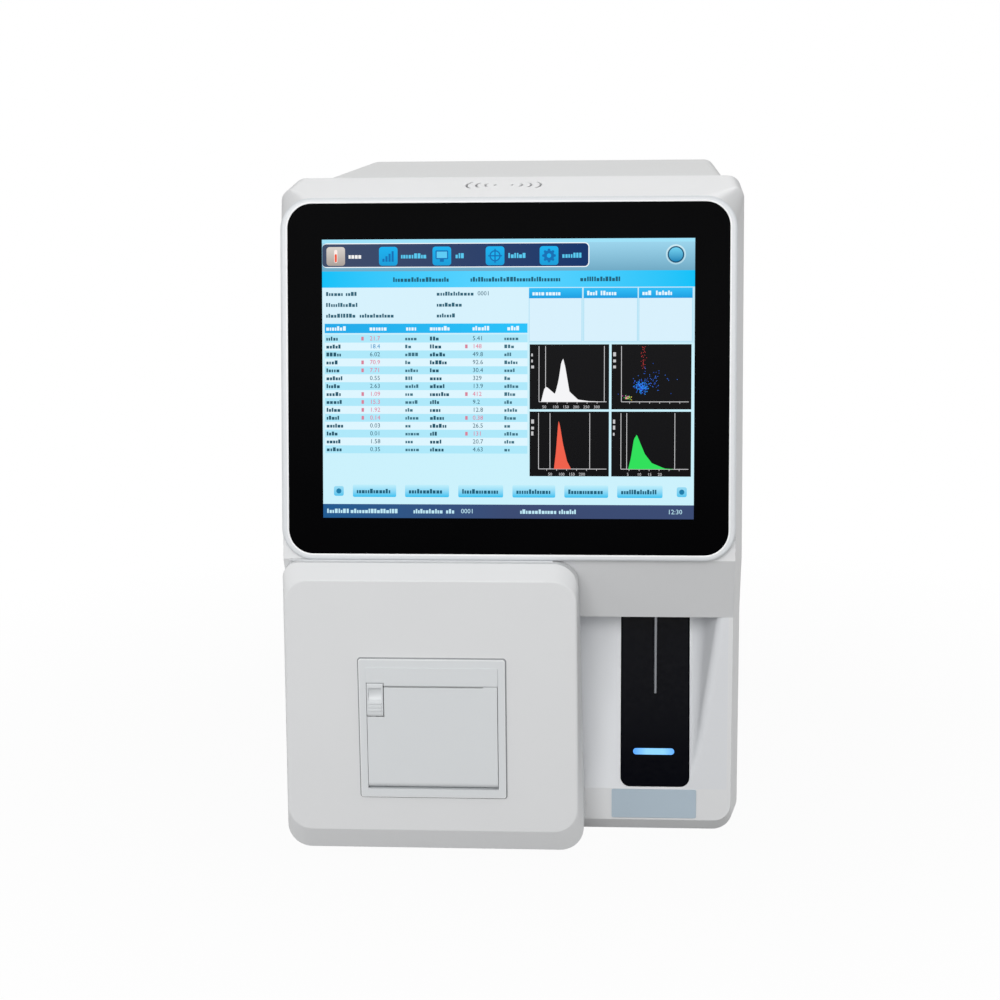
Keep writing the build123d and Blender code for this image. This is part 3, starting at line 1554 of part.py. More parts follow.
# Mains inlet with its switch opening, in one moulding
switch_z = inlet_z + 13.0
socket_z = inlet_z - 11.0
inlet_face = back_y + inlet_flange
rocker_width = 12.0
rocker_height = 18.0
rocker_tilt = 8.0
rocker_pin = 1.2
rocker_y = inlet_face - 3.0
with BuildPart() as mains_inlet:
    with BuildSketch(facing_front(inlet_face)):
        with Locations((inlet_x, inlet_z)):
            RectangleRounded(inlet_width, inlet_height, 3)
    extrude(amount=inlet_flange)
    chamfer(mains_inlet.faces().sort_by(Axis.Y)[-1].edges(), length=0.8)
    block(
        (inlet_x - inlet_body_width / 2, back_y - inlet_depth, inlet_z - inlet_body_height / 2),
        (inlet_x + inlet_body_width / 2, back_y + 0.5, inlet_z + inlet_body_height / 2),
    )
    with BuildSketch(facing_front(inlet_face)):
        with Locations((inlet_x, socket_z)):
            Rectangle(20.4, 14.6)
            chamfer(vertices().group_by(Axis.Y)[-1], length=4)
    extrude(amount=17, mode=Mode.SUBTRACT)
    with BuildSketch(facing_front(back_y - 15)):
        with Locations((inlet_x - 5.5, socket_z - 1.5), (inlet_x + 5.5, socket_z - 1.5)):
            Rectangle(1.6, 4)
        with Locations((inlet_x, socket_z + 2)):
            Rectangle(1.6, 4)
    extrude(amount=-13)
    block(
        (inlet_x - rocker_width / 2 - 0.4, back_y - 7, switch_z - rocker_height / 2 - 0.8),
        (inlet_x + rocker_width / 2 + 0.4, inlet_face + 1, switch_z + rocker_height / 2 + 0.8),
        Mode.SUBTRACT,
    )
    rod("x", (inlet_x, rocker_y, switch_z), rocker_pin + sliding_gap, rocker_width + 4,
        Mode.SUBTRACT)
finish(mains_inlet, "mains_inlet")

# Rocker of the power switch, tilted to one side and rocking about its middle pin
with BuildPart() as power_switch:
    rocker_plane = Plane(
        origin=(inlet_x - rocker_width / 2, rocker_y, switch_z),
        x_dir=(0, cos(radians(rocker_tilt)), sin(radians(rocker_tilt))),
        z_dir=(1, 0, 0),
    )
    with BuildSketch(rocker_plane):
        Polygon(
            (-5, -3),
            (0.2, -rocker_height / 2 + 0.6),
            (3.6, -rocker_height / 2 + 0.6),
            (2.2, 0),
            (3.6, rocker_height / 2 - 0.6),
            (0.2, rocker_height / 2 - 0.6),
            (-5, 3),
            align=None,
        )
    extrude(amount=rocker_width)
    rod("x", (inlet_x, rocker_y, switch_z), rocker_pin, rocker_width + 3)
finish(power_switch, "power_switch")

# Data sockets: a steel plate in the panel opening with four sockets on a small board
socket_xs = (-33.0, -16.0, 4.0, 28.0)
socket_widths = (13.2, 13.2, 15.0, 30.0)
socket_heights = (6.0, 6.0, 12.6, 10.0)
with BuildPart() as data_ports:
    block(
        (data_x - data_width / 2 + 0.3, panel_y - 1.2, data_z - data_height / 2 + 0.3),
        (data_x + data_width / 2 - 0.3, back_y - 0.4, data_z + data_height / 2 - 0.3),
    )
    block(
        (data_x - data_width / 2 - 4, panel_y - 1.2, data_z - data_height / 2 - 4),
        (data_x + data_width / 2 + 4, panel_y, data_z + data_height / 2 + 4),
    )
    block(
        (data_x - data_width / 2, panel_y - 45, data_z - data_height / 2),
        (data_x + data_width / 2, panel_y - 1.2, data_z - data_height / 2 + board_thickness),
    )
    for offset_x, width, height in zip(socket_xs, socket_widths, socket_heights):
        block(
            (data_x + offset_x - width / 2 - 0.8, panel_y - 14,
             data_z - data_height / 2 + board_thickness),
            (data_x + offset_x + width / 2 + 0.8, panel_y - 1.2,
             data_z - data_height / 2 + board_thickness + height + 1.6),
        )
    for offset_x, width, height in zip(socket_xs, socket_widths, socket_heights):
        socket_low = data_z - data_height / 2 + board_thickness + 0.8
        block(
            (data_x + offset_x - width / 2, panel_y - 11, socket_low),
            (data_x + offset_x + width / 2, back_y + 1, socket_low + height),
            Mode.SUBTRACT,
        )
        block(
            (data_x + offset_x - width / 2 + 1.5, panel_y - 11.5, socket_low + height / 2 - 0.8),
            (data_x + offset_x + width / 2 - 1.5, panel_y - 1, socket_low + height / 2 + 0.8),
        )
finish(data_ports, "data_ports")

# Reagent and waste fittings: barbed stubs through the back panel with a nut inside
with BuildPart() as reagent_ports:
    port_places = [
        (port_x + sx * port_spacing / 2, port_z + sz * port_spacing / 2)
        for sx in (-1, 1)
        for sz in (-1, 1)
    ]
    for place_x, place_z in port_places:
        rod("y", (place_x, back_y - 6, place_z), port_thread, 12)
        with BuildSketch(facing_front(back_y + 4)):
            with Locations((place_x, place_z)):
                RegularPolygon(8, 6)
        extrude(amount=4)
        with BuildSketch(facing_front(panel_y)):
            with Locations((place_x, place_z)):
                RegularPolygon(8, 6)
        extrude(amount=3.5)
        rod("y", (place_x, back_y + (4 + port_reach) / 2, place_z), 2.2, port_reach - 4)
        rod("y", (place_x, back_y - 12 - 4, place_z), 2.2, 8)
        for barb_y in (back_y + 6.5, back_y + 9.5, back_y + 12.5):
            rod("y", (place_x, barb_y, place_z), 2.8, 1.2)
        rod("y", (place_x, back_y - 3, place_z), 1.3, 40, Mode.SUBTRACT)
finish(reagent_ports, "reagent_ports")

# Screws that hold the back panel
with BuildPart() as case_screws:
    for screw_x, screw_z in screw_places:
        rod("y", (screw_x, back_y + 1.0, screw_z), screw_head, 2.0)
        rod("y", (screw_x, back_y - 3.0, screw_z), screw_shank, 6.0)
        block(
            (screw_x - 1.8, back_y + 1.3, screw_z - 0.4),
            (screw_x + 1.8, back_y + 2.5, screw_z + 0.4),
            Mode.SUBTRACT,
        )
        block(
            (screw_x - 0.4, back_y + 1.3, screw_z - 1.8),
            (screw_x + 0.4, back_y + 2.5, screw_z + 1.8),
            Mode.SUBTRACT,
        )
finish(case_screws, "case_screws")

# Magnetic catch behind the free edge of the side door
catch_z = (door_low + door_high) / 2
with BuildPart() as door_catch:
    block(
        (side_x - 2 * sheet - 8, door_front - ledge, catch_z - 15),
        (side_x - 2 * sheet, door_front + ledge - 1, catch_z + 15),
    )
finish(door_catch, "door_catch")

# Inner shelves: the optics bridge from a leg on the left to the inner frame, and the
# small shelf on the frame's right that the baths hang from
optics_z = 225.0
optics_left = -side_x + 13.0
optics_length = 166.0
optics_back = back_y - 28.0
optics_front = optics_back - optics_length
leg_window_width = 110.0
leg_window_height = 130.0
with BuildPart() as inner_shelves:
    block(
        (optics_left, optics_front, optics_z), (frame_x, optics_back, optics_z + frame_sheet)
    )
    block(
        (optics_left, optics_front, base_z), (optics_left + frame_sheet, optics_back, optics_z)
    )
    block(
        (optics_left, optics_front, base_z),
        (optics_left + 12, optics_back, base_z + frame_sheet),
    )
    block(
        (frame_x - frame_sheet, optics_front, optics_z - 14), (frame_x, optics_back, optics_z)
    )
    with BuildSketch(facing_right(optics_left - 1)):
        with Locations(((optics_front + optics_back) / 2, (base_z + optics_z) / 2 + 5)):
            RectangleRounded(leg_window_width, leg_window_height, 10)
    extrude(amount=frame_sheet + 2, mode=Mode.SUBTRACT)
    block(
        (frame_right, bath_y - 40, bath_shelf_z), (bath_x + 20, bath_y + 40, bath_shelf_z + 2)
    )
    block(
        (frame_right, bath_y - 40, bath_shelf_z - 25),
        (frame_right + 2, bath_y + 40, bath_shelf_z),
    )
    with BuildSketch(Plane.XY.offset(bath_shelf_z - 1)):
        with Locations(*bath_places):
            Circle(bath_radius + 0.05)
    extrude(amount=4, mode=Mode.SUBTRACT)
finish(inner_shelves, "inner_shelves")

# Soft mounts and the optical bench plate
bench_left = optics_left + 9.0
bench_right = frame_x - 12.0
bench_front = optics_front + 12.0
bench_back = optics_back - 12.0
bench_thickness = 8.0
mount_height = 8.0
mount_radius = 7.0
bench_low = optics_z + frame_sheet + mount_height
bench_top = bench_low + bench_thickness
mount_places = [
    (x, y) for x in (bench_left + 12, bench_right - 12) for y in (bench_front + 12, bench_back - 12)
]
with BuildPart() as bench_mounts:
    for place_x, place_y in mount_places:
        rod("z", (place_x, place_y, bench_low - mount_height / 2), mount_radius, mount_height)
finish(bench_mounts, "bench_mounts")

with BuildPart() as optical_bench:
    block((bench_left, bench_front, bench_low), (bench_right, bench_back, bench_top))
    fillet(optical_bench.edges().filter_by(Axis.Z), radius=6)
finish(optical_bench, "optical_bench")

# Laser, flow cell and detector in one line along the bench
beam_x = (bench_left + bench_right) / 2
beam_z = bench_top + 20.0
laser_radius = 11.0
laser_front = bench_front + 6
laser_length = 62.0
cell_half = 12.0
cell_y = laser_front + laser_length + cell_half + 11.0
with BuildPart() as laser_module:
    rod("y", (beam_x, laser_front + laser_length / 2, beam_z), laser_radius, laser_length)
    block(
        (beam_x - 15, laser_front + 8, bench_top), (beam_x + 15, laser_front + 54, beam_z)
    )
    rod("y", (beam_x, laser_front + laser_length, beam_z), 3, 6, Mode.SUBTRACT)
finish(laser_module, "laser_module")

# Flow cell, with the scatter detector behind it as a second solid
detector_y = cell_y + cell_half + 10
with BuildPart() as flow_cell:
    block(
        (beam_x - cell_half, cell_y - cell_half, bench_top),
        (beam_x + cell_half, cell_y + cell_half, beam_z + 22),
    )
    rod("y", (beam_x, cell_y, beam_z), 3, 2 * cell_half + 2, Mode.SUBTRACT)
    rod("z", (beam_x, cell_y, beam_z + 24), 2, 6)
    block((beam_x - 20, detector_y, bench_top), (beam_x + 20, detector_y + 14, beam_z + 18))
    rod("y", (beam_x, detector_y - 4, beam_z), 8, 8)
    rod("y", (beam_x, detector_y - 6, beam_z), 5, 6, Mode.SUBTRACT)
finish(flow_cell, "flow_cell")

# Main board standing on the left face of the inner frame
board_right = frame_x - 5.0
board_front = frame_front + 21.0
board_back = board_front + 112.0
board_low = 80.0
board_high = optics_z - 10.0
plug_y = board_back - 20.0
with BuildPart() as main_board:
    block(
        (board_right - board_thickness, board_front, board_low),
        (board_right, board_back, board_high),
    )
    for leg_y in (board_front + 6, board_back - 6):
        for leg_z in (board_low + 6, board_high - 6):
            rod("x", ((board_right + frame_x) / 2, leg_y, leg_z), 3, frame_x - board_right)
    for chip_y, chip_z, chip_size in (
        (board_front + 32, board_high - 35, 27),
        (board_front + 72, board_high - 35, 17),
        (board_front + 32, board_low + 50, 20),
    ):
        block(
            (board_right - board_thickness - 3, chip_y - chip_size / 2, chip_z - chip_size / 2),
            (board_right - board_thickness, chip_y + chip_size / 2, chip_z + chip_size / 2),
        )
    for plug_z in (board_low + 15, board_low + 35, board_low + 65, board_low + 85):
        block(
            (board_right - board_thickness - 8, plug_y - 4, plug_z - 6),
            (board_right - board_thickness, plug_y + 4, plug_z + 6),
        )
finish(main_board, "main_board")

# Vacuum and waste chamber: clear pot with a lid and two stubs
chamber_radius = 26.0
chamber_height = 100.0
chamber_wall = 2.5
chamber_floor = 3.0
lid_height = 8.0
lid_reach = 3.0
stub_spacing = 16.0
stub_length = 8.0
tube_radius = 2.0
chamber_x = -base_half + chamber_radius + lid_reach + 5.0
chamber_setback = 101.7
chamber_y = base_front + chamber_setback
lid_z = base_z + chamber_height - 1.0
with BuildPart() as vacuum_chamber:
    rod("z", (chamber_x, chamber_y, base_z + chamber_height / 2), chamber_radius, chamber_height)
    rod("z", (chamber_x, chamber_y, lid_z + lid_height / 2), chamber_radius + lid_reach, lid_height)
    for side in (-1, 1):
        rod("z", (chamber_x + side * stub_spacing / 2, chamber_y, lid_z + lid_height + 3),
            tube_radius, stub_length + 2)
    rod("z", (chamber_x, chamber_y, base_z + chamber_height / 2), chamber_radius - chamber_wall,
        chamber_height - 2 * chamber_floor, Mode.SUBTRACT)
finish(vacuum_chamber, "vacuum_chamber")

# Two diaphragm pumps on the base: motor, pump head and foot
pump_pitch = 44.0
pump_radius = 14.0
motor_length = 44.0
head_width = 28.0
head_depth = 32.0
head_height = 42.0
foot_length = 40.0
foot_depth = 24.0
pump_foot = 12.0
head_setback = 50.0
head_left = frame_x - head_setback
first_pump_y = chamber_y + chamber_radius + lid_reach + head_depth / 2 + 13.0
with BuildPart() as pumps:
    for pump_y in (first_pump_y, first_pump_y + pump_pitch):
        rod("x", (head_left - motor_length / 2, pump_y, base_z + head_height / 2 + 1), pump_radius,
            motor_length)
        block(
            (head_left, pump_y - head_depth / 2, base_z),
            (head_left + head_width, pump_y + head_depth / 2, base_z + head_height),
        )
        block(
            (head_left - foot_length - 4, pump_y - foot_depth / 2, base_z),
            (head_left - 4, pump_y + foot_depth / 2, base_z + pump_foot),
        )
        for stub in (8, head_width - 8):
            rod("z", (head_left + stub, pump_y, base_z + head_height + stub_length / 2),
                tube_radius, stub_length + 2)
finish(pumps, "pumps")

# Power supply in a vented steel case, between the pumps and the mains inlet
supply_left = -base_half + 22.0
supply_right = frame_x - 18.0
supply_gap = 22.0
supply_front = first_pump_y + pump_pitch + head_depth / 2 + supply_gap
supply_back = back_y - inlet_depth - 10.0
supply_height = 42.0
supply_feet = 3.0
supply_low = base_z + supply_feet
hole_pitch = 9.0
holes_across = int((supply_right - supply_left - 20) / hole_pitch)
holes_deep = int((supply_back - supply_front - 28) / hole_pitch)
with BuildPart() as power_supply:
    block(
        (supply_left, supply_front, supply_low),
        (supply_right, supply_back, supply_low + supply_height),
    )
    for foot_x in (supply_left + 8, supply_right - 8):
        for foot_y in (supply_front + 8, supply_back - 8):
            rod("z", (foot_x, foot_y, base_z + supply_feet / 2), 3, supply_feet)
    with BuildSketch(Plane.XY.offset(supply_low + supply_height)):
        with Locations(((supply_left + supply_right) / 2, (supply_front + supply_back) / 2)):
            with GridLocations(hole_pitch, hole_pitch, holes_across, holes_deep):
                Circle(2.5)
    extrude(amount=-2, mode=Mode.SUBTRACT)
finish(power_supply, "power_supply")
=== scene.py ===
import bpy
import bmesh
import random
from math import atan, cos, hypot, pi, radians, sin
from mathutils import Matrix, Vector


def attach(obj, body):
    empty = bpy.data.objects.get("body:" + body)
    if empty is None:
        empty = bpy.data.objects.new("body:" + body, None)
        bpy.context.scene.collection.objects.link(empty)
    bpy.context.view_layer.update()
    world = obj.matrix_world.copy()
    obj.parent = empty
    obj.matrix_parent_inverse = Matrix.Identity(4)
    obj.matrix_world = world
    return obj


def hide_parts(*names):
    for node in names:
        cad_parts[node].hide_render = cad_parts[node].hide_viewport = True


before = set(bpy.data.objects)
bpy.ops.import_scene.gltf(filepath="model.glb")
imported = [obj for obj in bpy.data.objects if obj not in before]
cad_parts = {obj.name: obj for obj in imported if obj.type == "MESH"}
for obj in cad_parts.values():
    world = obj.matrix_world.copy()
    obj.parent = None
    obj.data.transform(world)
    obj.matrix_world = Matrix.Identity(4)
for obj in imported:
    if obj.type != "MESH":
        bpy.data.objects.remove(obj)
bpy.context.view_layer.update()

MM = 0.001


def linear(colour):
    """An sRGB hex colour as the linear colour that a socket takes."""
    shades = []
    for place in (0, 2, 4):
        shade = int(colour[place:place + 2], 16) / 255
        shades.append(shade / 12.92 if shade <= 0.04045 else ((shade + 0.055) / 1.055) ** 2.4)
    return (*shades, 1.0)


def node(tree, kind, links=None, **settings):
    """Adds a node: links gives its sockets a value or another node's output."""
    made = tree.nodes.new(kind)
    for name, value in settings.items():
        setattr(made, name, value)
    for socket, value in (links or {}).items():
        if isinstance(value, bpy.types.NodeSocket):
            tree.links.new(value, made.inputs[socket])
        else:
            made.inputs[socket].default_value = value
    return made


def new_material(name):
    """An empty material with its output and its Object coordinates."""
    material = bpy.data.materials.new(name)
    material.use_nodes = True
    tree = material.node_tree
    tree.nodes.clear()
    output = node(tree, "ShaderNodeOutputMaterial")
    place = node(tree, "ShaderNodeTexCoord").outputs["Object"]
    return material, tree, output, place


def moulded(name, colour, grain=0.45, height=0.012, roughness=0.42, shift=0.015, edge=0.35,
            mottle=38.0, shine=0.5, flush=()):
    """A moulded or coated surface: even colour, a fine grain and soft edges. A spark-eroded
    grain is drawn coarser than the real one, which is too fine to show.
    Inside the flush box, a middle and half a size for each axis in millimetres, its edges
    stay sharp."""
    material, tree, output, place = new_material(name)
    cloud = node(tree, "ShaderNodeTexNoise",
                 {"Vector": place, "Scale": 1 / (mottle * MM), "Detail": 3.0}).outputs["Fac"]
    tone = linear(colour)
    dark = tuple(c * (1 - shift) for c in tone[:3]) + (1.0,)
    light = tuple(min(1.0, c * (1 + shift)) for c in tone[:3]) + (1.0,)
    shade = node(tree, "ShaderNodeMix", {0: cloud, 6: dark, 7: light}, data_type="RGBA")
    speck = node(tree, "ShaderNodeTexNoise",
                 {"Vector": place, "Scale": 1 / (grain * MM), "Detail": 2.0}).outputs["Fac"]
    rough = node(tree, "ShaderNodeMapRange",
                 {"Value": speck, "From Min": 0.3, "From Max": 0.7,
                  "To Min": roughness - 0.05, "To Max": roughness + 0.05})
    facing = node(tree, "ShaderNodeBevel", {"Radius": edge * MM}, samples=4).outputs["Normal"]
    if flush:
        sharp = node(tree, "ShaderNodeNewGeometry").outputs["Normal"]
        parts = node(tree, "ShaderNodeSeparateXYZ", {"Vector": place})
        inside = 1.0
        for axis, (middle, half) in zip("XYZ", flush):
            near = node(tree, "ShaderNodeMath",
                        {0: parts.outputs[axis], 1: middle * MM, 2: half * MM},
                        operation="COMPARE")
            inside = node(tree, "ShaderNodeMath", {0: inside, 1: near.outputs[0]},
                          operation="MULTIPLY").outputs[0]
        facing = node(tree, "ShaderNodeMix", {0: inside, 4: facing, 5: sharp},
                      data_type="VECTOR").outputs[1]
    bump = node(tree, "ShaderNodeBump",
                {"Height": speck, "Strength": 0.35, "Distance": height * MM,
                 "Normal": facing})
    shader = node(tree, "ShaderNodeBsdfPrincipled",
                  {"Base Color": shade.outputs[2], "Roughness": rough.outputs["Result"],
                   "IOR": 1.5, "Specular IOR Level": shine, "Normal": bump.outputs["Normal"]})
    tree.links.new(shader.outputs["BSDF"], output.inputs["Surface"])
    return material


def metal(name, colour, roughness=0.3, along=(1, 1, 1), scratch=0.5, depth=0.01, edge=0.2):
    """Bare metal: fine marks drawn out along one axis by rolling, drawing or turning."""
    material, tree, output, place = new_material(name)
    stretch = node(tree, "ShaderNodeMapping", {"Vector": place, "Scale": along})
    marks = node(tree, "ShaderNodeTexNoise",
                 {"Vector": stretch.outputs["Vector"], "Scale": 1 / (scratch * MM),
                  "Detail": 4.0}).outputs["Fac"]
    tone = linear(colour)
    dark = tuple(c * 0.9 for c in tone[:3]) + (1.0,)
    shade = node(tree, "ShaderNodeMix", {0: marks, 6: dark, 7: tone}, data_type="RGBA")
    rough = node(tree, "ShaderNodeMapRange",
                 {"Value": marks, "From Min": 0.3, "From Max": 0.7,
                  "To Min": roughness - 0.08, "To Max": roughness + 0.08})
    soft = node(tree, "ShaderNodeBevel", {"Radius": edge * MM}, samples=4)
    bump = node(tree, "ShaderNodeBump",
                {"Height": marks, "Strength": 0.3, "Distance": depth * MM,
                 "Normal": soft.outputs["Normal"]})
    shader = node(tree, "ShaderNodeBsdfPrincipled",
                  {"Base Color": shade.outputs[2], "Metallic": 1.0,
                   "Roughness": rough.outputs["Result"], "Normal": bump.outputs["Normal"]})
    tree.links.new(shader.outputs["BSDF"], output.inputs["Surface"])
    return material


def clear_plastic(name, colour, roughness=0.08):
    """Machined acrylic: clear, faintly tinted, with light tool haze."""
    material, tree, output, place = new_material(name)
    haze = node(tree, "ShaderNodeTexNoise",
                {"Vector": place, "Scale": 1 / (1.2 * MM), "Detail": 3.0}).outputs["Fac"]
    rough = node(tree, "ShaderNodeMapRange",
                 {"Value": haze, "From Min": 0.3, "From Max": 0.7,
                  "To Min": roughness, "To Max": roughness + 0.12})
    shader = node(tree, "ShaderNodeBsdfPrincipled",
                  {"Base Color": linear(colour), "Roughness": rough.outputs["Result"],
                   "IOR": 1.49, "Transmission Weight": 0.85})
    tree.links.new(shader.outputs["BSDF"], output.inputs["Surface"])
    return material


# Round the mouth of the sampling bay, shell and liner meet without a step
bay_mouth = ((82.0, 48.0), (-186.0, 3.0), (86.0, 58.0))
# Shell: spark-eroded white ABS, whose fine grain gives a soft satin without sparkle
shell_abs = moulded("shell_white_abs", "E3E4E5", grain=0.5, height=0.01, roughness=0.4,
                    flush=bay_mouth)
# Bezel round the glass: the same resin with a finer polish, slightly darker and cleaner
bezel_abs = moulded("bezel_grey_abs", "DDE0E3", grain=0.35, height=0.006, roughness=0.3)
# Printer: the same white with a matt etched grain
printer_abs = moulded("printer_etched_abs", "DEE1E3", grain=0.6, height=0.012, roughness=0.5)
# Printer's lever: satin moulding, a little glossier than the door beside it
latch_abs = moulded("latch_satin_abs", "DFE2E4", grain=0.4, height=0.008, roughness=0.35)
# Bay liner: lies flush in the shell, so its front edges stay sharp and no seam shows
liner_abs = moulded("bay_liner_abs", "E0E2E5", grain=0.5, height=0.01, roughness=0.42,
                    flush=bay_mouth)
# Powder coat on the folded steel: orange-peel waves of about a millimetre
powder_coat = moulded("powder_coated_steel", "DADBDB", grain=1.1, height=0.03, roughness=0.48)
# Hard black moulding of the fan, inlet and rocker
black_abs = moulded("black_moulding", "16171A", grain=0.5, height=0.012, roughness=0.45)
# Start plate: high-gloss black acrylic, which shows next to nothing of a white studio
black_gloss = moulded("polished_black_acrylic", "02030A", grain=2.5, height=0.0,
                      roughness=0.16, edge=0.3, shine=0.02)
# Feet, bench mounts and platen roller: moulded rubber, nearly black and with little shine
rubber = moulded("moulded_rubber", "1B1B1C", grain=0.9, height=0.02, roughness=0.75)
# Gears: moulded nylon, milky and faintly yellow
nylon = moulded("moulded_nylon", "E4E2D6", grain=0.4, height=0.008, roughness=0.4)
# Fluid fittings and slides: turned acetal, a warm white with a waxy shine
acetal = moulded("turned_acetal", "EDEBE4", grain=0.5, height=0.006, roughness=0.33)
# Paper roll: smooth warm white with only a sheen
paper = moulded("thermal_paper", "F2F1EC", grain=0.25, height=0.006, roughness=0.6)
# Circuit boards: a green solder mask, glossy over the weave of the board
board_green = moulded("solder_masked_board", "0F5A34", grain=1.8, height=0.01, roughness=0.28)
# Loudspeaker: a pressed paper cone, black and rough
speaker_black = moulded("speaker_paper_cone", "1D1D20", grain=0.7, height=0.03, roughness=0.8)
# Door catch: a bonded magnet, dark grey and dull
magnet_black = moulded("bonded_magnet", "2A2A2C", grain=0.5, height=0.01, roughness=0.6)
# Print head: grey ceramic with a tight highlight
ceramic = moulded("print_head_ceramic", "8E8F93", grain=0.6, height=0.005, roughness=0.35)
# Zinc-plated sheet: pale grey, with long rolling marks and a soft reflection
zinc = metal("zinc_plated_sheet", "B9BCBF", roughness=0.38, along=(1, 1, 0.08), scratch=0.8)
# Ground stainless steel: bright, with fine marks along its length
steel = metal("ground_stainless_steel", "C4C6C9", roughness=0.2, along=(1, 1, 0.1), scratch=0.3)
# Probe: drawn tube, polished along its length, so it mirrors the dark plate behind it
tube_steel = metal("drawn_stainless_tube", "8C8E92", roughness=0.3, along=(1, 1, 0.05), scratch=0.2)
# Motors and pumps: laminated steel, dark grey, with the level lines of its stacked sheets
dark_steel = metal("laminated_motor_steel", "5B5E63", roughness=0.42, along=(0.1, 0.1, 1.0))
# Clear-anodised aluminium plate: pale, a little blue, and satin
anodised = metal("clear_anodised_plate", "AEB4BB", roughness=0.42, along=(0.1, 1, 1))
# Laser's barrel: brass, warm yellow, with fine marks drawn out along it
brass = metal("turned_brass", "C9A65A", roughness=0.28, along=(1, 0.1, 1))
# Label plate: pale blue satin foil
label_foil = moulded("pale_blue_satin_foil", "B4C4D0", grain=0.3, height=0.004, roughness=0.32)
# Baths, barrels and blocks: machined acrylic, clear with a faint haze
acrylic = clear_plastic("machined_acrylic", "EAF2F4")

# Light pipe: moulded clear acrylic over a blue lamp. It is brighter in its middle, where
# the lamp sits, and a deeper blue at its ends.
bay_middle = 84.8
pipe_bright = 5.0
pipe_end = 12.0
blue_light, tree, output, place = new_material("lit_blue_light_pipe")
across = node(tree, "ShaderNodeSeparateXYZ", {"Vector": place}).outputs["X"]
from_middle = node(tree, "ShaderNodeMath", {0: across, 1: bay_middle * MM},
                   operation="SUBTRACT")
reach = node(tree, "ShaderNodeMath", {0: from_middle.outputs[0]}, operation="ABSOLUTE")
fall = node(tree, "ShaderNodeMapRange",
            {"Value": reach.outputs[0], "From Min": pipe_bright * MM,
             "From Max": pipe_end * MM})
shade = node(tree, "ShaderNodeMix",
             {0: fall.outputs["Result"], 6: linear("7CCBFF"), 7: linear("2F9BFF")},
             data_type="RGBA")
frost = node(tree, "ShaderNodeTexNoise",
             {"Vector": place, "Scale": 1 / (0.8 * MM), "Detail": 2.0}).outputs["Fac"]
glow = node(tree, "ShaderNodeMapRange", {"Value": frost, "To Min": 0.94, "To Max": 1.06})
shader = node(tree, "ShaderNodeBsdfPrincipled",
              {"Base Color": linear("203040"), "Roughness": 0.3,
               "Emission Color": shade.outputs[2], "Emission Strength": glow.outputs["Result"]})
tree.links.new(shader.outputs["BSDF"], output.inputs["Surface"])

finish_of = {
    "front_shell": shell_abs, "printer_cover": shell_abs, "display_frame": bezel_abs,
    "printer_housing": printer_abs, "printer_door": printer_abs, "printer_latch": latch_abs,
    "bay_panel": liner_abs, "start_plate": black_gloss, "light_pipe": blue_light,
    "label_plate": label_foil, "sample_probe": tube_steel, "probe_screw": steel,
    "guide_rods": steel, "syringe_screw": steel, "printer_door_pin": steel,
    "door_hinges": steel, "fan_guard": steel, "case_screws": steel,
    "rear_cover": powder_coat, "side_door": powder_coat, "rear_panel": powder_coat,
    "platen_roller": rubber, "feet": rubber, "bench_mounts": rubber,
    "platen_gear": nylon, "drive_gear": nylon, "paper_roll": paper,
    "print_head": ceramic, "printer_motor": dark_steel, "stepper_motors": dark_steel,
    "pumps": dark_steel, "start_switch": board_green, "main_board": board_green,
    "wash_block": acrylic, "syringe_barrels": acrylic, "counting_baths": acrylic,
    "vacuum_chamber": acrylic, "inner_frame": zinc, "display_bracket": zinc,
    "base_plate": zinc, "inner_shelves": zinc, "power_supply": zinc, "data_ports": zinc,
    "lcd_module": zinc, "sampling_bracket": anodised, "syringe_bracket": anodised,
    "optical_bench": anodised, "flow_cell": anodised, "laser_module": brass,
    "probe_carriage": acetal, "syringe_plungers": acetal, "valve_manifold": acetal,
    "reagent_ports": acetal, "cooling_fan": black_abs, "fan_rotor": black_abs,
    "mains_inlet": black_abs, "power_switch": black_abs, "speaker": speaker_black,
    "door_catch": magnet_black,
}
for name, finish in finish_of.items():
    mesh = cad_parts[name].data
    mesh.materials.clear()
    mesh.materials.append(finish)


def sheet_at(middle, turn=0.0):
    """Where a sketch in millimetres goes: its middle, after a turn about X."""
    return (Matrix.Translation(Vector(middle) * MM) @ Matrix.Rotation(turn, 4, "X")
            @ Matrix.Scale(MM, 4))


def add_object(name, sketch, material):
    """Makes an object of a finished sketch."""
    mesh = bpy.data.meshes.new(name)
    sketch.to_mesh(mesh)
    sketch.free()
    made = bpy.data.objects.new(name, mesh)
    bpy.context.collection.objects.link(made)
    mesh.materials.append(material)
    return made


def finish_piece(name, sketch, material, body, place):
    """Makes a piece of a sketch in millimetres, in its place and riding on its body."""
    bmesh.ops.transform(sketch, matrix=place, verts=sketch.verts)
    piece = add_object(name, sketch, material)
    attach(piece, body)
    return piece


def plate(sketch, width, height, corner, level=0.0, middle=(0.0, 0.0), segments=10):
    """A flat face with rounded corners."""
    made = bmesh.ops.create_grid(sketch, x_segments=1, y_segments=1, size=0.5)["verts"]
    bmesh.ops.scale(sketch, vec=(width, height, 1), verts=made)
    bmesh.ops.translate(sketch, vec=(*middle, level), verts=made)
    if corner:
        made = bmesh.ops.bevel(sketch, geom=made, offset=corner, segments=segments,
                               affect="VERTICES", profile=0.5, material=-1)["verts"]
    return made[0].link_faces[0]


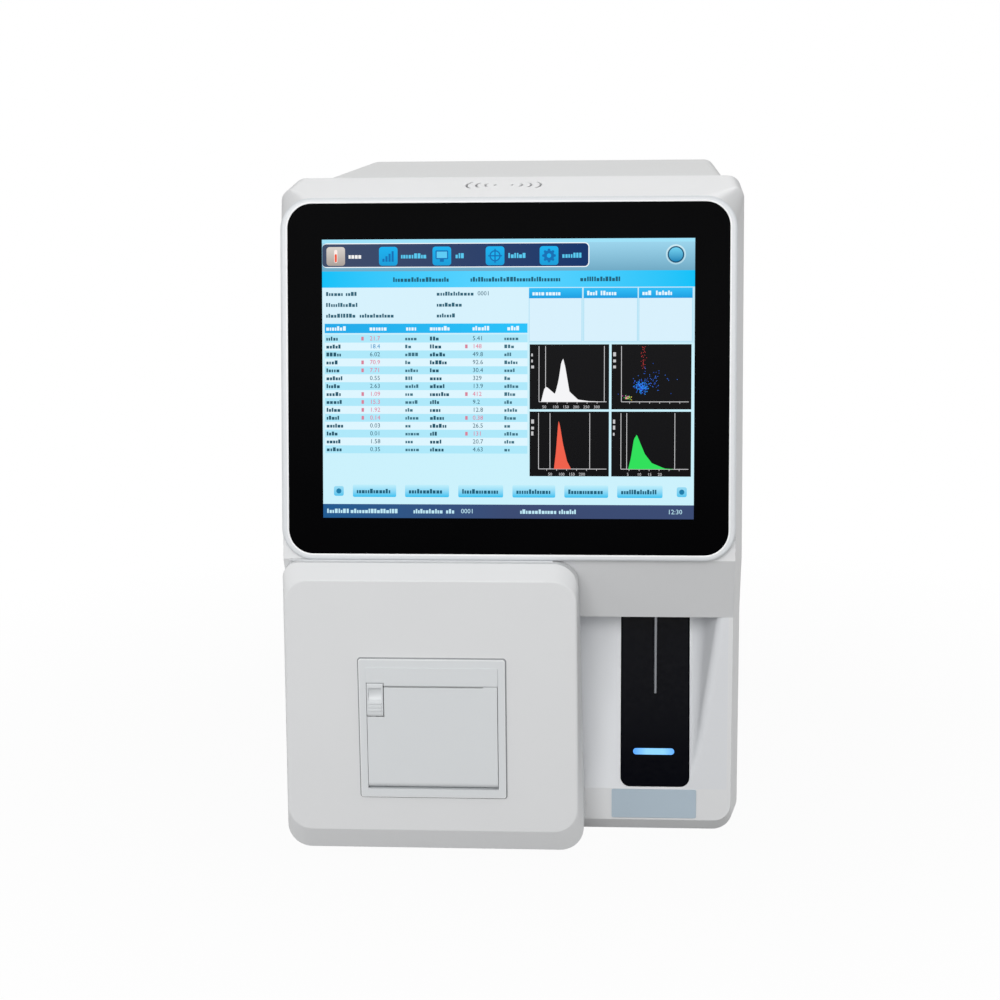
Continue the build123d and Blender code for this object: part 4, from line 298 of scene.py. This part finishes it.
def rim(name, width, height, corner, wide, low, high, material, body, place, middle=(0, 0)):
    """A thin rounded ring along the edge of a plate: low at its edges, high at its crest."""
    crest_inset = wide * 0.3
    sketch = bmesh.new()
    outer = plate(sketch, width, height, corner, low, middle)
    bmesh.ops.inset_region(sketch, faces=[outer], thickness=wide, use_boundary=True)
    bmesh.ops.delete(sketch, geom=[outer], context="FACES")
    ring = sketch.faces[:]
    bmesh.ops.inset_region(sketch, faces=ring, thickness=crest_inset, use_boundary=True)
    crest = [v for v in sketch.verts if v.is_valid and not v.is_boundary]
    bmesh.ops.translate(sketch, vec=(0, 0, high - low), verts=crest)
    for face in sketch.faces:
        face.smooth = True
    return finish_piece(name, sketch, material, body, place)


# The display: its lean, the size of its cover glass and that of its lit window.
# Its sketches have X to the right, Y up and Z out of the glass.
lean = radians(8.8)
glass_width = 250.6
glass_height = 199.2
glass_corner = 14.0
screen_width = 211.2
screen_height = 158.4
pocket_deep = 0.3
glass_edge = 0.8
glass_middle = (0.0, -194.0, 279.5)
to_glass = sheet_at(glass_middle, pi / 2 - lean)

# Cover glass: black print behind polished glass; a studio shows in it only as a faint veil
black_glass, tree, output, place = new_material("black_printed_glass")
smear = node(tree, "ShaderNodeTexNoise",
             {"Vector": place, "Scale": 1 / (60.0 * MM), "Detail": 2.0}).outputs["Fac"]
rough = node(tree, "ShaderNodeMapRange",
             {"Value": smear, "From Min": 0.35, "From Max": 0.65, "To Min": 0.2,
              "To Max": 0.24})
shader = node(tree, "ShaderNodeBsdfPrincipled",
              {"Base Color": linear("030304"), "Roughness": rough.outputs["Result"],
               "IOR": 1.5, "Specular IOR Level": 0.008})
tree.links.new(shader.outputs["BSDF"], output.inputs["Surface"])

# The glass starts as a grid of three by three faces, and the middle one becomes the window
sketch = bmesh.new()
made = bmesh.ops.create_grid(sketch, x_segments=3, y_segments=3, size=1.0)["verts"]
window_points = [v for v in made if abs(v.co.x) < 0.5 and abs(v.co.y) < 0.5]
window = next(f for f in sketch.faces if all(v in window_points for v in f.verts))
# The grid's inner lines go to the window's edges and its outer ones to the glass's edges
for axis, inside, outside in ((0, screen_width, glass_width),
                              (1, screen_height, glass_height)):
    near = [v for v in made if abs(v.co[axis]) < 0.5]
    ends = [v for v in made if abs(v.co[axis]) > 0.5]
    for points, factor in ((near, inside / 2 * 3), (ends, outside / 2)):
        size = [1, 1, 1]
        size[axis] = factor
        bmesh.ops.scale(sketch, vec=size, verts=points)
corners = [v for v in made if len(v.link_edges) == 2]
bmesh.ops.bevel(sketch, geom=corners, offset=glass_corner, segments=12, affect="VERTICES",
                profile=0.5, material=-1)
# The lit window is a shallow pocket behind the front face, and the picture lies in it
pocket = bmesh.ops.extrude_discrete_faces(sketch, faces=[window])["faces"][0]
bmesh.ops.translate(sketch, vec=(0, 0, -pocket_deep), verts=pocket.verts[:])
# Ground edge of the glass
edge = [e for e in sketch.edges if e.is_boundary]
turned = bmesh.ops.extrude_edge_only(sketch, edges=edge)["geom"]
low = [v for v in turned if isinstance(v, bmesh.types.BMVert)]
bmesh.ops.translate(sketch, vec=(0, 0, -glass_edge), verts=low)
glass = finish_piece("cover_glass", sketch, black_glass, "case", to_glass)
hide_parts("touch_glass")

# A raised near-white ring all round the glass: painted highlight where the bezel's edge catches the
# light
highlight_and_teeth_white = moulded("painted_highlight_and_tooth_white", "F7F8F9", grain=0.3, height=0.002, roughness=0.25)
bezel_highlight_wide = 1.0
rim("bezel_edge_highlight", glass_width + 2 * bezel_highlight_wide, glass_height + 2 * bezel_highlight_wide,
    corner=glass_corner + bezel_highlight_wide, wide=bezel_highlight_wide, low=0.81, high=0.9,
    material=highlight_and_teeth_white, body="case", place=to_glass)

# The picture on the display, drawn in dots from its top left: 374 across and 280.2 down.
# A level is the height of a layer in millimetres, and a higher one covers a lower one.
dots_across = 374
dots_down = 280.2
dot = screen_width / dots_across
chance = random.Random(7)
# Inks that the picture uses in several places
sign_blue = "0A6FB4"
tile_blue = "12B2F0"
caption_dark = "1F5468"
caption_grey = "2F6276"
caption_blue = "1B5E78"
caption_pale = "E8F8FE"
foot_pale = "BFE8F6"
axis_grey = "D0D0D2"
mark_grey = "C8C8CA"
high_red = "E06A8C"
high_rose = "D98098"

# Liquid crystal panel behind glass: each face of the picture glows in its own ink, crossed
# by the fine grid of the panel's pixels
pixel_pitch = 0.264
picture_light, tree, output, place = new_material("lit_display_picture")
ink = node(tree, "ShaderNodeAttribute", attribute_name="ink").outputs["Color"]
grid = node(tree, "ShaderNodeTexWave",
            {"Vector": place, "Scale": 1 / (pixel_pitch * MM * 2 * pi)},
            bands_direction="X").outputs["Fac"]
pixels = node(tree, "ShaderNodeMapRange", {"Value": grid, "To Min": 0.96, "To Max": 1.04})
shader = node(tree, "ShaderNodeBsdfPrincipled",
              {"Base Color": linear("040506"), "Roughness": 0.25, "Specular IOR Level": 0.02,
               "Emission Color": ink, "Emission Strength": pixels.outputs["Result"]})
tree.links.new(shader.outputs["BSDF"], output.inputs["Surface"])


def new_picture():
    """An empty layer of the picture, with room for its inks."""
    sketch = bmesh.new()
    sketch.loops.layers.float_color.new("ink")
    return sketch


def paint(sketch, face, colour, far=None, along=0):
    """Inks a face, in one colour or running over to another along X (0) or down (1)."""
    layer = sketch.loops.layers.float_color["ink"]
    first = linear(colour)
    last = linear(far or colour)
    places = [loop.vert.co[along] for loop in face.loops]
    low = min(places)
    span = max(max(places) - low, 1e-6)
    for loop in face.loops:
        share = (loop.vert.co[along] - low) / span
        share = 1 - share if along else share
        loop[layer] = [a + (b - a) * share for a, b in zip(first, last)]


def at(across, down):
    """A place of the picture, from dots to the sketch's millimetres."""
    return across * dot - screen_width / 2, screen_height / 2 - down * dot


def patch(sketch, left, top, right, bottom, level, colour, far=None, along=0, corner=0.0):
    """A rectangle of the picture, with rounded corners if it has any."""
    face = plate(sketch, (right - left) * dot, (bottom - top) * dot, corner * dot, level,
                 at((left + right) / 2, (top + bottom) / 2), 4)
    paint(sketch, face, colour, far, along)


def disc(sketch, across, down, radius, level, colour, far=None):
    """A round spot of the picture."""
    made = bmesh.ops.create_circle(sketch, cap_ends=True, segments=24, radius=radius * dot)
    bmesh.ops.translate(sketch, vec=(*at(across, down), level), verts=made["verts"])
    paint(sketch, made["verts"][0].link_faces[0], colour, far, 1)


def captions(sketch, down, spans, colour, high=4.0, level=-0.08):
    """Small blocks of uneven width and height, in one line across the picture."""
    for left, right in spans:
        while left < right - 1.5:
            wide = chance.choice((1.6, 2.2, 2.8))
            rise = high * chance.choice((0.7, 0.7, 1.0))
            patch(sketch, left, down + high / 2 - rise, left + wide, down + high / 2, level,
                  colour)
            left += wide + chance.choice((0.7, 0.7, 0.9))


def hill(sketch, points, base, level, colour):
    """A filled curve over a base line, such as a count of cells by their size."""
    steps = 60
    made = bmesh.ops.create_grid(sketch, x_segments=steps, y_segments=1, size=0.5)["verts"]
    start, finish = points[0][0], points[-1][0]
    for point in made:
        across = start + (point.co.x + 0.5) * (finish - start)
        pair = next(k for k in range(len(points) - 1) if across <= points[k + 1][0] + 1e-4)
        (x0, y0), (x1, y1) = points[pair], points[pair + 1]
        top = y0 + (y1 - y0) * (across - x0) / (x1 - x0)
        point.co = (*at(across, top if point.co.y > 0 else base), level)
    for face in {face for point in made for face in point.link_faces}:
        paint(sketch, face, colour)


def figures(sketch, text, across, down, colour, size=6.2, level=-0.06):
    """A plain number, with its left end at a place of the picture."""
    curve = bpy.data.curves.new("figures", "FONT")
    curve.body = text
    curve.size = size * dot
    curve.resolution_u = 2
    curve.align_y = "CENTER"
    holder = bpy.data.objects.new("figures", curve)
    mesh = bpy.data.meshes.new_from_object(holder)
    known = set(sketch.verts)
    sketch.from_mesh(mesh)
    made = [point for point in sketch.verts if point not in known]
    bmesh.ops.translate(sketch, vec=(*at(across, down), level), verts=made)
    for face in {face for point in made for face in point.link_faces}:
        paint(sketch, face, colour)
    bpy.data.objects.remove(holder)
    bpy.data.curves.remove(curve)
    bpy.data.meshes.remove(mesh)


# Header with its toolbar, the line under it and the sample's particulars
half_across = dots_across / 2
header_foot = 31.8
line_foot = 48.1
details_right = 208.4
sketch = new_picture()
patch(sketch, 0, 0, dots_across, dots_down, -0.28, "CBF1FC")
patch(sketch, 0, 0, dots_across, header_foot, -0.25, "9FD8F0", "6FA9C4", 1)
patch(sketch, 0, 0, dots_across, 3.5, -0.22, "9FE1F8")
patch(sketch, 0.3, 3.7, 269, 28.3, -0.20, "F4FBFF", corner=4.6)
patch(sketch, 0.3, 4.6, 268, 27.4, -0.18, "3C4A66", "063068", corner=3.8)
patch(sketch, 0, header_foot, half_across, line_foot, -0.25, "00C0F8", "5AD4FF")
patch(sketch, half_across, header_foot, dots_across, line_foot, -0.25, "5AD4FF", "00C0F8")
patch(sketch, 0.4, line_foot, details_right, 83.5, -0.25, "D6F1FC")
patch(sketch, details_right, line_foot, dots_across, 104, -0.26, "C4E9F8")
captions(sketch, 16.6, [(27, 41)], "F4F4F2", 5.0)
captions(sketch, 16.6, [(80, 107), (135, 144), (188, 206), (242, 262)], "58C8F0", 5.0)
captions(sketch, 40.2, [(72, 130), (150, 240), (260, 301)], caption_blue, 4.6)
captions(sketch, 54.4, [(4, 22), (24, 36), (116, 152)], caption_grey)
captions(sketch, 65.4, [(4, 36), (116, 142)], caption_grey)
captions(sketch, 76.2, [(4, 34), (38, 73), (116, 136)], caption_grey)
finish_piece("screen_header", sketch, picture_light, "case", to_glass)

# Toolbar signs on five tiles: a sample tube, a bar graph, a monitor, a ring with a cross and
# a toothed wheel. A round knob stands beside them.
sketch = new_picture()
tiles = (14.0, 67.15, 121.2, 174.65, 228.7)
tile_half = 9.4
tile_down = 16.8
ring_across = tiles[3]
wheel_across = tiles[4]
knob = (355, 16.2)
for number, across in enumerate(tiles):
    patch(sketch, across - tile_half, tile_down - tile_half, across + tile_half,
          tile_down + tile_half, -0.15,
          tile_blue if number else "D8D2CC", "0E9CD8" if number else "A89F98", 1, 3.0)
patch(sketch, 12.4, 10.2, 15.6, 23.2, -0.12, "FDEDE8", corner=1.5)
patch(sketch, 12.9, 14.5, 15.1, 22.7, -0.10, "F05A3C", corner=1.0)
for number, rise in enumerate((3.0, 5.5, 8.0, 10.5)):
    left = 61.2 + number * 3.1
    patch(sketch, left, 22.3 - rise, left + 2.1, 22.3, -0.12, sign_blue)
patch(sketch, 114.8, 11.2, 127.6, 20.0, -0.12, sign_blue, corner=1.0)
patch(sketch, 116.0, 12.4, 126.4, 18.8, -0.10, "5CCBF4")
patch(sketch, 119.2, 20.0, 123.2, 22.6, -0.12, sign_blue)
disc(sketch, ring_across, tile_down, 5.6, -0.12, sign_blue)
disc(sketch, ring_across, tile_down, 4.3, -0.10, tile_blue)
patch(sketch, 174.0, 9.8, 175.3, 23.8, -0.08, sign_blue)
patch(sketch, 167.65, 16.15, 181.65, 17.45, -0.08, sign_blue)
for turn in range(8):
    disc(sketch, wheel_across + 5.6 * cos(turn * pi / 4), tile_down + 5.6 * sin(turn * pi / 4),
         1.3, -0.12, sign_blue)
disc(sketch, wheel_across, tile_down, 5.2, -0.11, sign_blue)
disc(sketch, wheel_across, tile_down, 2.2, -0.09, tile_blue)
disc(sketch, *knob, 10.0, -0.20, "CDEBF5", "A9D3E4")
disc(sketch, *knob, 8.3, -0.18, "0F4E6E")
disc(sketch, *knob, 7.0, -0.16, "6FD0F0", "0C7FB4")
finish_piece("screen_signs", sketch, picture_light, "case", to_glass)

# Table of results, on rows of two pale blues
row_top = 95.25
row_high = 7.97
rows = 15
table_left = 2.4
table_right = 207.2
sketch = new_picture()
patch(sketch, table_left, 84.3, table_right, 93.7, -0.22, "18A8E8", "22C2FA")
captions(sketch, 89, [(4, 25), (48, 65), (85, 97), (109, 130), (152, 170), (187, 198)],
         caption_pale, 4.4)
for row in range(rows):
    top = row_top + row * row_high
    middle = top + row_high / 2
    patch(sketch, table_left, top, table_right, top + row_high, -0.22,
          "DDF5FE" if row % 2 else "AEE8FA")
    captions(sketch, middle, [(4, 17 + row % 3 * 2), (109, 118 + row % 4 * 3)], caption_dark)
    captions(sketch, middle, [(84, 97 - row % 2 * 6), (184, 199 - row % 3 * 4)], "3E7082", 3.6)
finish_piece("screen_table", sketch, picture_light, "case", to_glass)

# Three flag boxes over four graphs
sketch = new_picture()
flag_top = 49
flag_head = 59.3
for left, right in ((208.7, 261.8), (263.4, 317.15), (318.4, 371.8)):
    patch(sketch, left, flag_top, right, 102.5, -0.22, "A6DCF2")
    patch(sketch, left + 0.5, flag_head, right - 0.5, 102, -0.20, "D8F0FC")
    patch(sketch, left, flag_top, right, flag_head, -0.18, "2CBEF8", "0C9CE0", 1)
    captions(sketch, 54.2, [(left + 3.5, left + 14), (left + 17, left + 33)], caption_pale, 4.4)
for left in (209.4, 291.4):
    for top in (105.25, 172.5):
        patch(sketch, left, top, left + 79.6, top + 65, -0.22, "0B0A0C")
        for mark in range(3):
            captions(sketch, top + 10 + mark * 6, [(left + 1.6, left + 5)], mark_grey, 4.0, -0.16)
finish_piece("screen_flags", sketch, picture_light, "case", to_glass)

# Axes and marker lines, the filled curves and the clouds of single cells
upper_base = 162.7
lower_base = 230.1
line_half = 0.3
sketch = new_picture()
for top, base, lines in ((107, upper_base, (218.8, 225.4, 284.2, 301.3)),
                         (174, lower_base, (218.4, 229.9, 269.8, 301, 306.8, 354.8))):
    for across in lines:
        patch(sketch, across - line_half, top, across + line_half, base, -0.18, axis_grey)
for left, right, base in ((218.8, 286.6, upper_base), (301.3, 368.5, upper_base),
                          (218.4, 286.6, lower_base), (301, 368.5, lower_base)):
    patch(sketch, left, base - line_half, right, base + line_half, -0.18, axis_grey)
    for mark in range(6):
        tick = left + 8 + mark * 10
        patch(sketch, tick, base, tick + 0.5, base + 1.8, -0.18, axis_grey)
hill(sketch, [(221, 162.4), (224, 150), (226, 147.7), (227.5, 148.6), (235, 155), (238.5, 141),
              (241, 124), (242.9, 119.1), (245, 127), (249.4, 152.5), (258, 160.5),
              (268.4, 162), (284, 162.6)], upper_base, -0.14, "F4F4F6")
hill(sketch, [(233.9, 230), (236, 212), (238, 186), (238.7, 181.9), (240, 187), (243, 205),
              (247, 222), (250.9, 229.6)], lower_base, -0.14, "F0604A")
hill(sketch, [(308.4, 230), (311, 219), (314, 200), (316.9, 195.5), (320, 203), (325, 215),
              (332, 224), (345, 229.4), (354, 230)], lower_base, -0.14, "2EE05A")
for spot in range(150):
    disc(sketch, chance.gauss(321.4, 3.6), chance.gauss(147.7, 2.8), 0.45, -0.14,
         chance.choice(("2A7CF0", "1E9CFF", "3458E0")))
for spot in range(60):
    disc(sketch, chance.gauss(334, 9), chance.gauss(141, 7), 0.35, -0.14,
         chance.choice(("2A5CD0", "3F7CF0")))
for spot in range(34):
    disc(sketch, chance.gauss(322.7, 1.4), chance.uniform(107.5, 131), 0.35, -0.14, "C23A3A")
for spot in range(34):
    disc(sketch, chance.gauss(307.8, 2.2), chance.gauss(158.4, 1.1), 0.4, -0.14,
         chance.choice(("E86AC8", "4AD86A", "F0D060")))
finish_piece("screen_graphs", sketch, picture_light, "case", to_glass)

# Row of buttons over the dark bar at the foot
bar_top = 266.2
bar_middle = 273.2
button_middle = 253
sketch = new_picture()
for left, right in ((30.3, 74.4), (83.4, 128.1), (137.4, 182.8), (192.15, 235.3),
                    (244.4, 288.4), (297.4, 342.8)):
    patch(sketch, left, 246.5, right, 259, -0.22, "BFEFFC", "28C0F0", 1, 1.5)
    captions(sketch, button_middle, [(left + 4, right - 5)], caption_blue, 4.6)
for across in (16, 362):
    patch(sketch, across - 5, button_middle - 5, across + 5, button_middle + 5, -0.22,
          "9ADCF4", "54C4EE", 1, 2.0)
    disc(sketch, across, button_middle, 2.6, -0.18, "1B7CA8")
patch(sketch, 0, bar_top, half_across, dots_down, -0.24, "1E5A90", "3A4A72")
patch(sketch, half_across, bar_top, dots_across, dots_down, -0.24, "3A4A72")
captions(sketch, bar_middle,
         [(4, 26), (28, 75), (92, 122), (125, 134), (200, 236), (239, 258)], foot_pale, 4.4)
finish_piece("screen_buttons", sketch, picture_light, "case", to_glass)

# The plain numbers of the table, the graphs and the foot
left_values = ("21.7", "18.4", "6.02", "70.9", "7.71", "0.55", "2.63", "1.09", "15.3", "1.92",
               "0.14", "0.03", "0.01", "1.58", "0.35")
right_values = ("5.41", "148", "49.8", "92.6", "30.4", "329", "13.9", "412", "9.2", "12.8",
                "0.38", "26.5", "131", "20.7", "4.63")
high_left = (0, 3, 4, 7, 8, 9, 10)
high_right = (1, 7, 10, 12)
flag_half = 1.9
sketch = new_picture()
for row in range(rows):
    down = row_top + (row + 0.5) * row_high
    shade = high_red if row in high_left else "2890C8" if row == 1 else caption_dark
    figures(sketch, left_values[row], 48, down, shade)
    figures(sketch, right_values[row], 152, down, high_red if row in high_right else caption_dark)
    if row in high_left:
        patch(sketch, 39.5, down - flag_half, 42, down + flag_half, -0.10, high_rose)
    if row in high_right:
        patch(sketch, 144.5, down - flag_half, 147, down + flag_half, -0.10, high_rose)
for left, down, steps in ((222, 168, (50, 100, 150, 200, 250, 300)),
                          (228, 235.5, (50, 100, 150, 200)), (307, 235.5, (5, 10, 15, 20))):
    for number, value in enumerate(steps):
        figures(sketch, str(value), left + number * 10.3, down, mark_grey, 4.2)
figures(sketch, "0001", 140, bar_middle, foot_pale, 6.6)
figures(sketch, "12:30", 348, bar_middle, foot_pale, 6.6)
figures(sketch, "0001", 157, 54.4, caption_grey)
finish_piece("screen_figures", sketch, picture_light, "case", to_glass)

# A near-white ring round the black start plate: painted highlight along the liner's edge
bay_high = 105.5
bay_deep = 28.0
plate_wide = 40.0
plate_short = 2.5
plate_long = hypot(bay_deep, bay_high) - plate_short
plate_foot = 1.5
plate_highlight_reach = 1.9
ramp_foot = (bay_middle, -186.0, 33.0)
to_ramp = sheet_at(ramp_foot, pi / 2 - atan(bay_deep / bay_high))
rim("start_plate_edge_highlight", plate_wide + plate_highlight_reach, plate_long + plate_highlight_reach,
    corner=6.15, wide=0.55, low=0.02, high=0.3, material=highlight_and_teeth_white, body="case",
    place=to_ramp, middle=(0, plate_foot + plate_long / 2))

# A thin grey ring all round the printer's bezel: painted shadow in the gap between bezel and cover
printer_across = -43.4
bezel_wide = 84.3
bezel_high = 83.2
shadow_gap_reach = 1.5
highlight_inset = 0.2
shadow_gap_grey = moulded("painted_shadow_gap", "97999B", grain=0.4, height=0.02, roughness=0.8)
bezel_middle = (printer_across, -220.0, 80.3)
to_printer = sheet_at(bezel_middle, pi / 2)
rim("printer_shadow_gap", bezel_wide + shadow_gap_reach, bezel_high + shadow_gap_reach, corner=2.0, wide=1.1,
    low=0.02, high=0.1, material=shadow_gap_grey, body="case", place=to_printer)
# A near-white ring along its bezel's rounded edge: painted highlight
rim("printer_bezel_highlight", bezel_wide - highlight_inset, bezel_high - highlight_inset, corner=1.2, wide=0.7,
    low=1.41, high=1.46, material=highlight_and_teeth_white, body="case", place=to_printer)

# Teeth that the paper is torn on, along the slot over the printer's door
slot_long = 58.4
slot_high = 0.8
tooth_long = 0.7
tooth_tip = (0.4, 0.6, 1)
slot_middle = (printer_across, -221.45, 106.19)
sketch = bmesh.new()
made = bmesh.ops.create_grid(sketch, x_segments=90, y_segments=1, size=0.5)["verts"]
bmesh.ops.scale(sketch, vec=(slot_long, slot_high, 1), verts=made)
second = [face for number, face in enumerate(sketch.faces) if number % 2]
for tooth in bmesh.ops.extrude_discrete_faces(sketch, faces=second)["faces"]:
    middle = tooth.calc_center_median()
    bmesh.ops.scale(sketch, vec=tooth_tip, verts=tooth.verts[:],
                    space=Matrix.Translation(-middle))
    bmesh.ops.translate(sketch, vec=(0, 0, tooth_long), verts=tooth.verts[:])
finish_piece("tear_teeth", sketch, highlight_and_teeth_white, "case", sheet_at(slot_middle, pi))

# Pale foam strip that closes the gap between the display's bezel and the printer cover
gasket_long = 152.0
gasket_wide = 1.3
gasket_high = 0.5
gasket_corner = 0.5
gasket_middle = (-50.0, -209.3, 177.02)
pale_foam = moulded("pale_foam_strip", "E6E8EA", grain=0.5, height=0.02, roughness=0.8)
sketch = bmesh.new()
strip = plate(sketch, gasket_long, gasket_wide, gasket_corner)
drawn = bmesh.ops.extrude_face_region(sketch, geom=[strip])["geom"]
top = [v for v in drawn if isinstance(v, bmesh.types.BMVert)]
bmesh.ops.translate(sketch, vec=(0, 0, gasket_high), verts=top)
finish_piece("frame_gasket", sketch, pale_foam, "case", sheet_at(gasket_middle))

# Camera: its place in metres, its turns and its focal length in pixels are fitted to the
# outline and the display's corners
eye = Vector((0.074328, -1.319947, 0.452167))
pitch = radians(12.131)
yaw = radians(4.025)
roll = radians(-0.619)
focal_pixels = 2010.551
picture_side = 1000
sensor = 36
forward = Vector((-sin(yaw) * cos(pitch), cos(yaw) * cos(pitch), -sin(pitch)))
level = forward.cross(Vector((0, 0, 1))).normalized()
upright = level.cross(forward)
right = level * cos(roll) + upright * sin(roll)
up = upright * cos(roll) - level * sin(roll)
camera = bpy.data.objects.new("camera", bpy.data.cameras.new("camera"))
bpy.context.collection.objects.link(camera)
camera.data.lens = focal_pixels / picture_side * sensor
camera.data.sensor_width = sensor
camera.data.clip_end = 20
turned = Matrix((right, up, -forward)).transposed()
camera.matrix_world = Matrix.Translation(eye) @ turned.to_4x4()
bpy.context.scene.camera = camera

# Floor: matt and pale for the light on the object; the camera sees it white further out,
# with a faint shadow left close to the feet
floor_half = 6.0
shadow_reach = 0.22
white_reach = 0.6
shadow_share = 0.965
floor_white, tree, output, place = new_material("studio_floor")
ray = node(tree, "ShaderNodeLightPath")
seen = node(tree, "ShaderNodeMath",
            {0: ray.outputs["Is Camera Ray"], 1: ray.outputs["Is Glossy Ray"]},
            operation="MAXIMUM")
reach = node(tree, "ShaderNodeVectorMath", {0: place}, operation="LENGTH")
far = node(tree, "ShaderNodeMapRange",
           {"Value": reach.outputs["Value"], "From Min": shadow_reach,
            "From Max": white_reach, "To Min": shadow_share, "To Max": 1.0})
share = node(tree, "ShaderNodeMath", {0: seen.outputs[0], 1: far.outputs["Result"]},
             operation="MULTIPLY")
matt = node(tree, "ShaderNodeBsdfDiffuse", {"Color": linear("8C8C8C")})
glow = node(tree, "ShaderNodeEmission", {"Color": linear("FFFFFF"), "Strength": 1.0})
mixed = node(tree, "ShaderNodeMixShader",
             {0: share.outputs[0], 1: matt.outputs[0], 2: glow.outputs[0]})
tree.links.new(mixed.outputs[0], output.inputs["Surface"])
sketch = bmesh.new()
bmesh.ops.create_grid(sketch, x_segments=1, y_segments=1, size=floor_half)
floor = add_object("studio_floor", sketch, floor_white)

# World: the camera sees it white, and the object is lit by a weaker pale grey
world_light = 0.52
world = bpy.data.worlds.new("studio")
bpy.context.scene.world = world
world.use_nodes = True
tree = world.node_tree
tree.nodes.clear()
ray = node(tree, "ShaderNodeLightPath")
seen = node(tree, "ShaderNodeMath",
            {0: ray.outputs["Is Camera Ray"], 1: ray.outputs["Is Transmission Ray"]},
            operation="MAXIMUM")
plain = node(tree, "ShaderNodeBackground", {"Color": linear("F0F0F0"), "Strength": world_light})
white = node(tree, "ShaderNodeBackground", {"Color": linear("FFFFFF"), "Strength": 1.0})
mixed = node(tree, "ShaderNodeMixShader",
             {0: seen.outputs[0], 1: plain.outputs[0], 2: white.outputs[0]})
node(tree, "ShaderNodeOutputWorld", {"Surface": mixed.outputs[0]})


def lamp(name, place, target, size, power):
    """A soft box at a place, turned to a target: metres and watts."""
    light = bpy.data.lights.new(name, "AREA")
    light.shape = "RECTANGLE"
    light.size, light.size_y = size
    light.energy = power
    holder = bpy.data.objects.new(name, light)
    bpy.context.collection.objects.link(holder)
    holder.location = place
    holder.rotation_euler = (Vector(target) - Vector(place)).to_track_quat("-Z", "Y").to_euler()


# The front box is the strongest, so that the overhang's underside and the bevels darken as
# they turn from it
lamp("back_box", (0.0, 1.6, 1.8), (0, 0, 0.3), (1.6, 1.2), 16)
lamp("front_box", (-0.22, -2.4, 1.1), (0, -0.2, 0.2), (1.4, 1.2), 29)
lamp("right_box", (1.9, -0.5, 0.9), (0, 0, 0.2), (1.2, 1.2), 4)
lamp("left_box", (-1.7, -1.3, 0.9), (0, 0, 0.2), (1.2, 1.2), 5)

bpy.context.scene.view_settings.view_transform = "Standard"
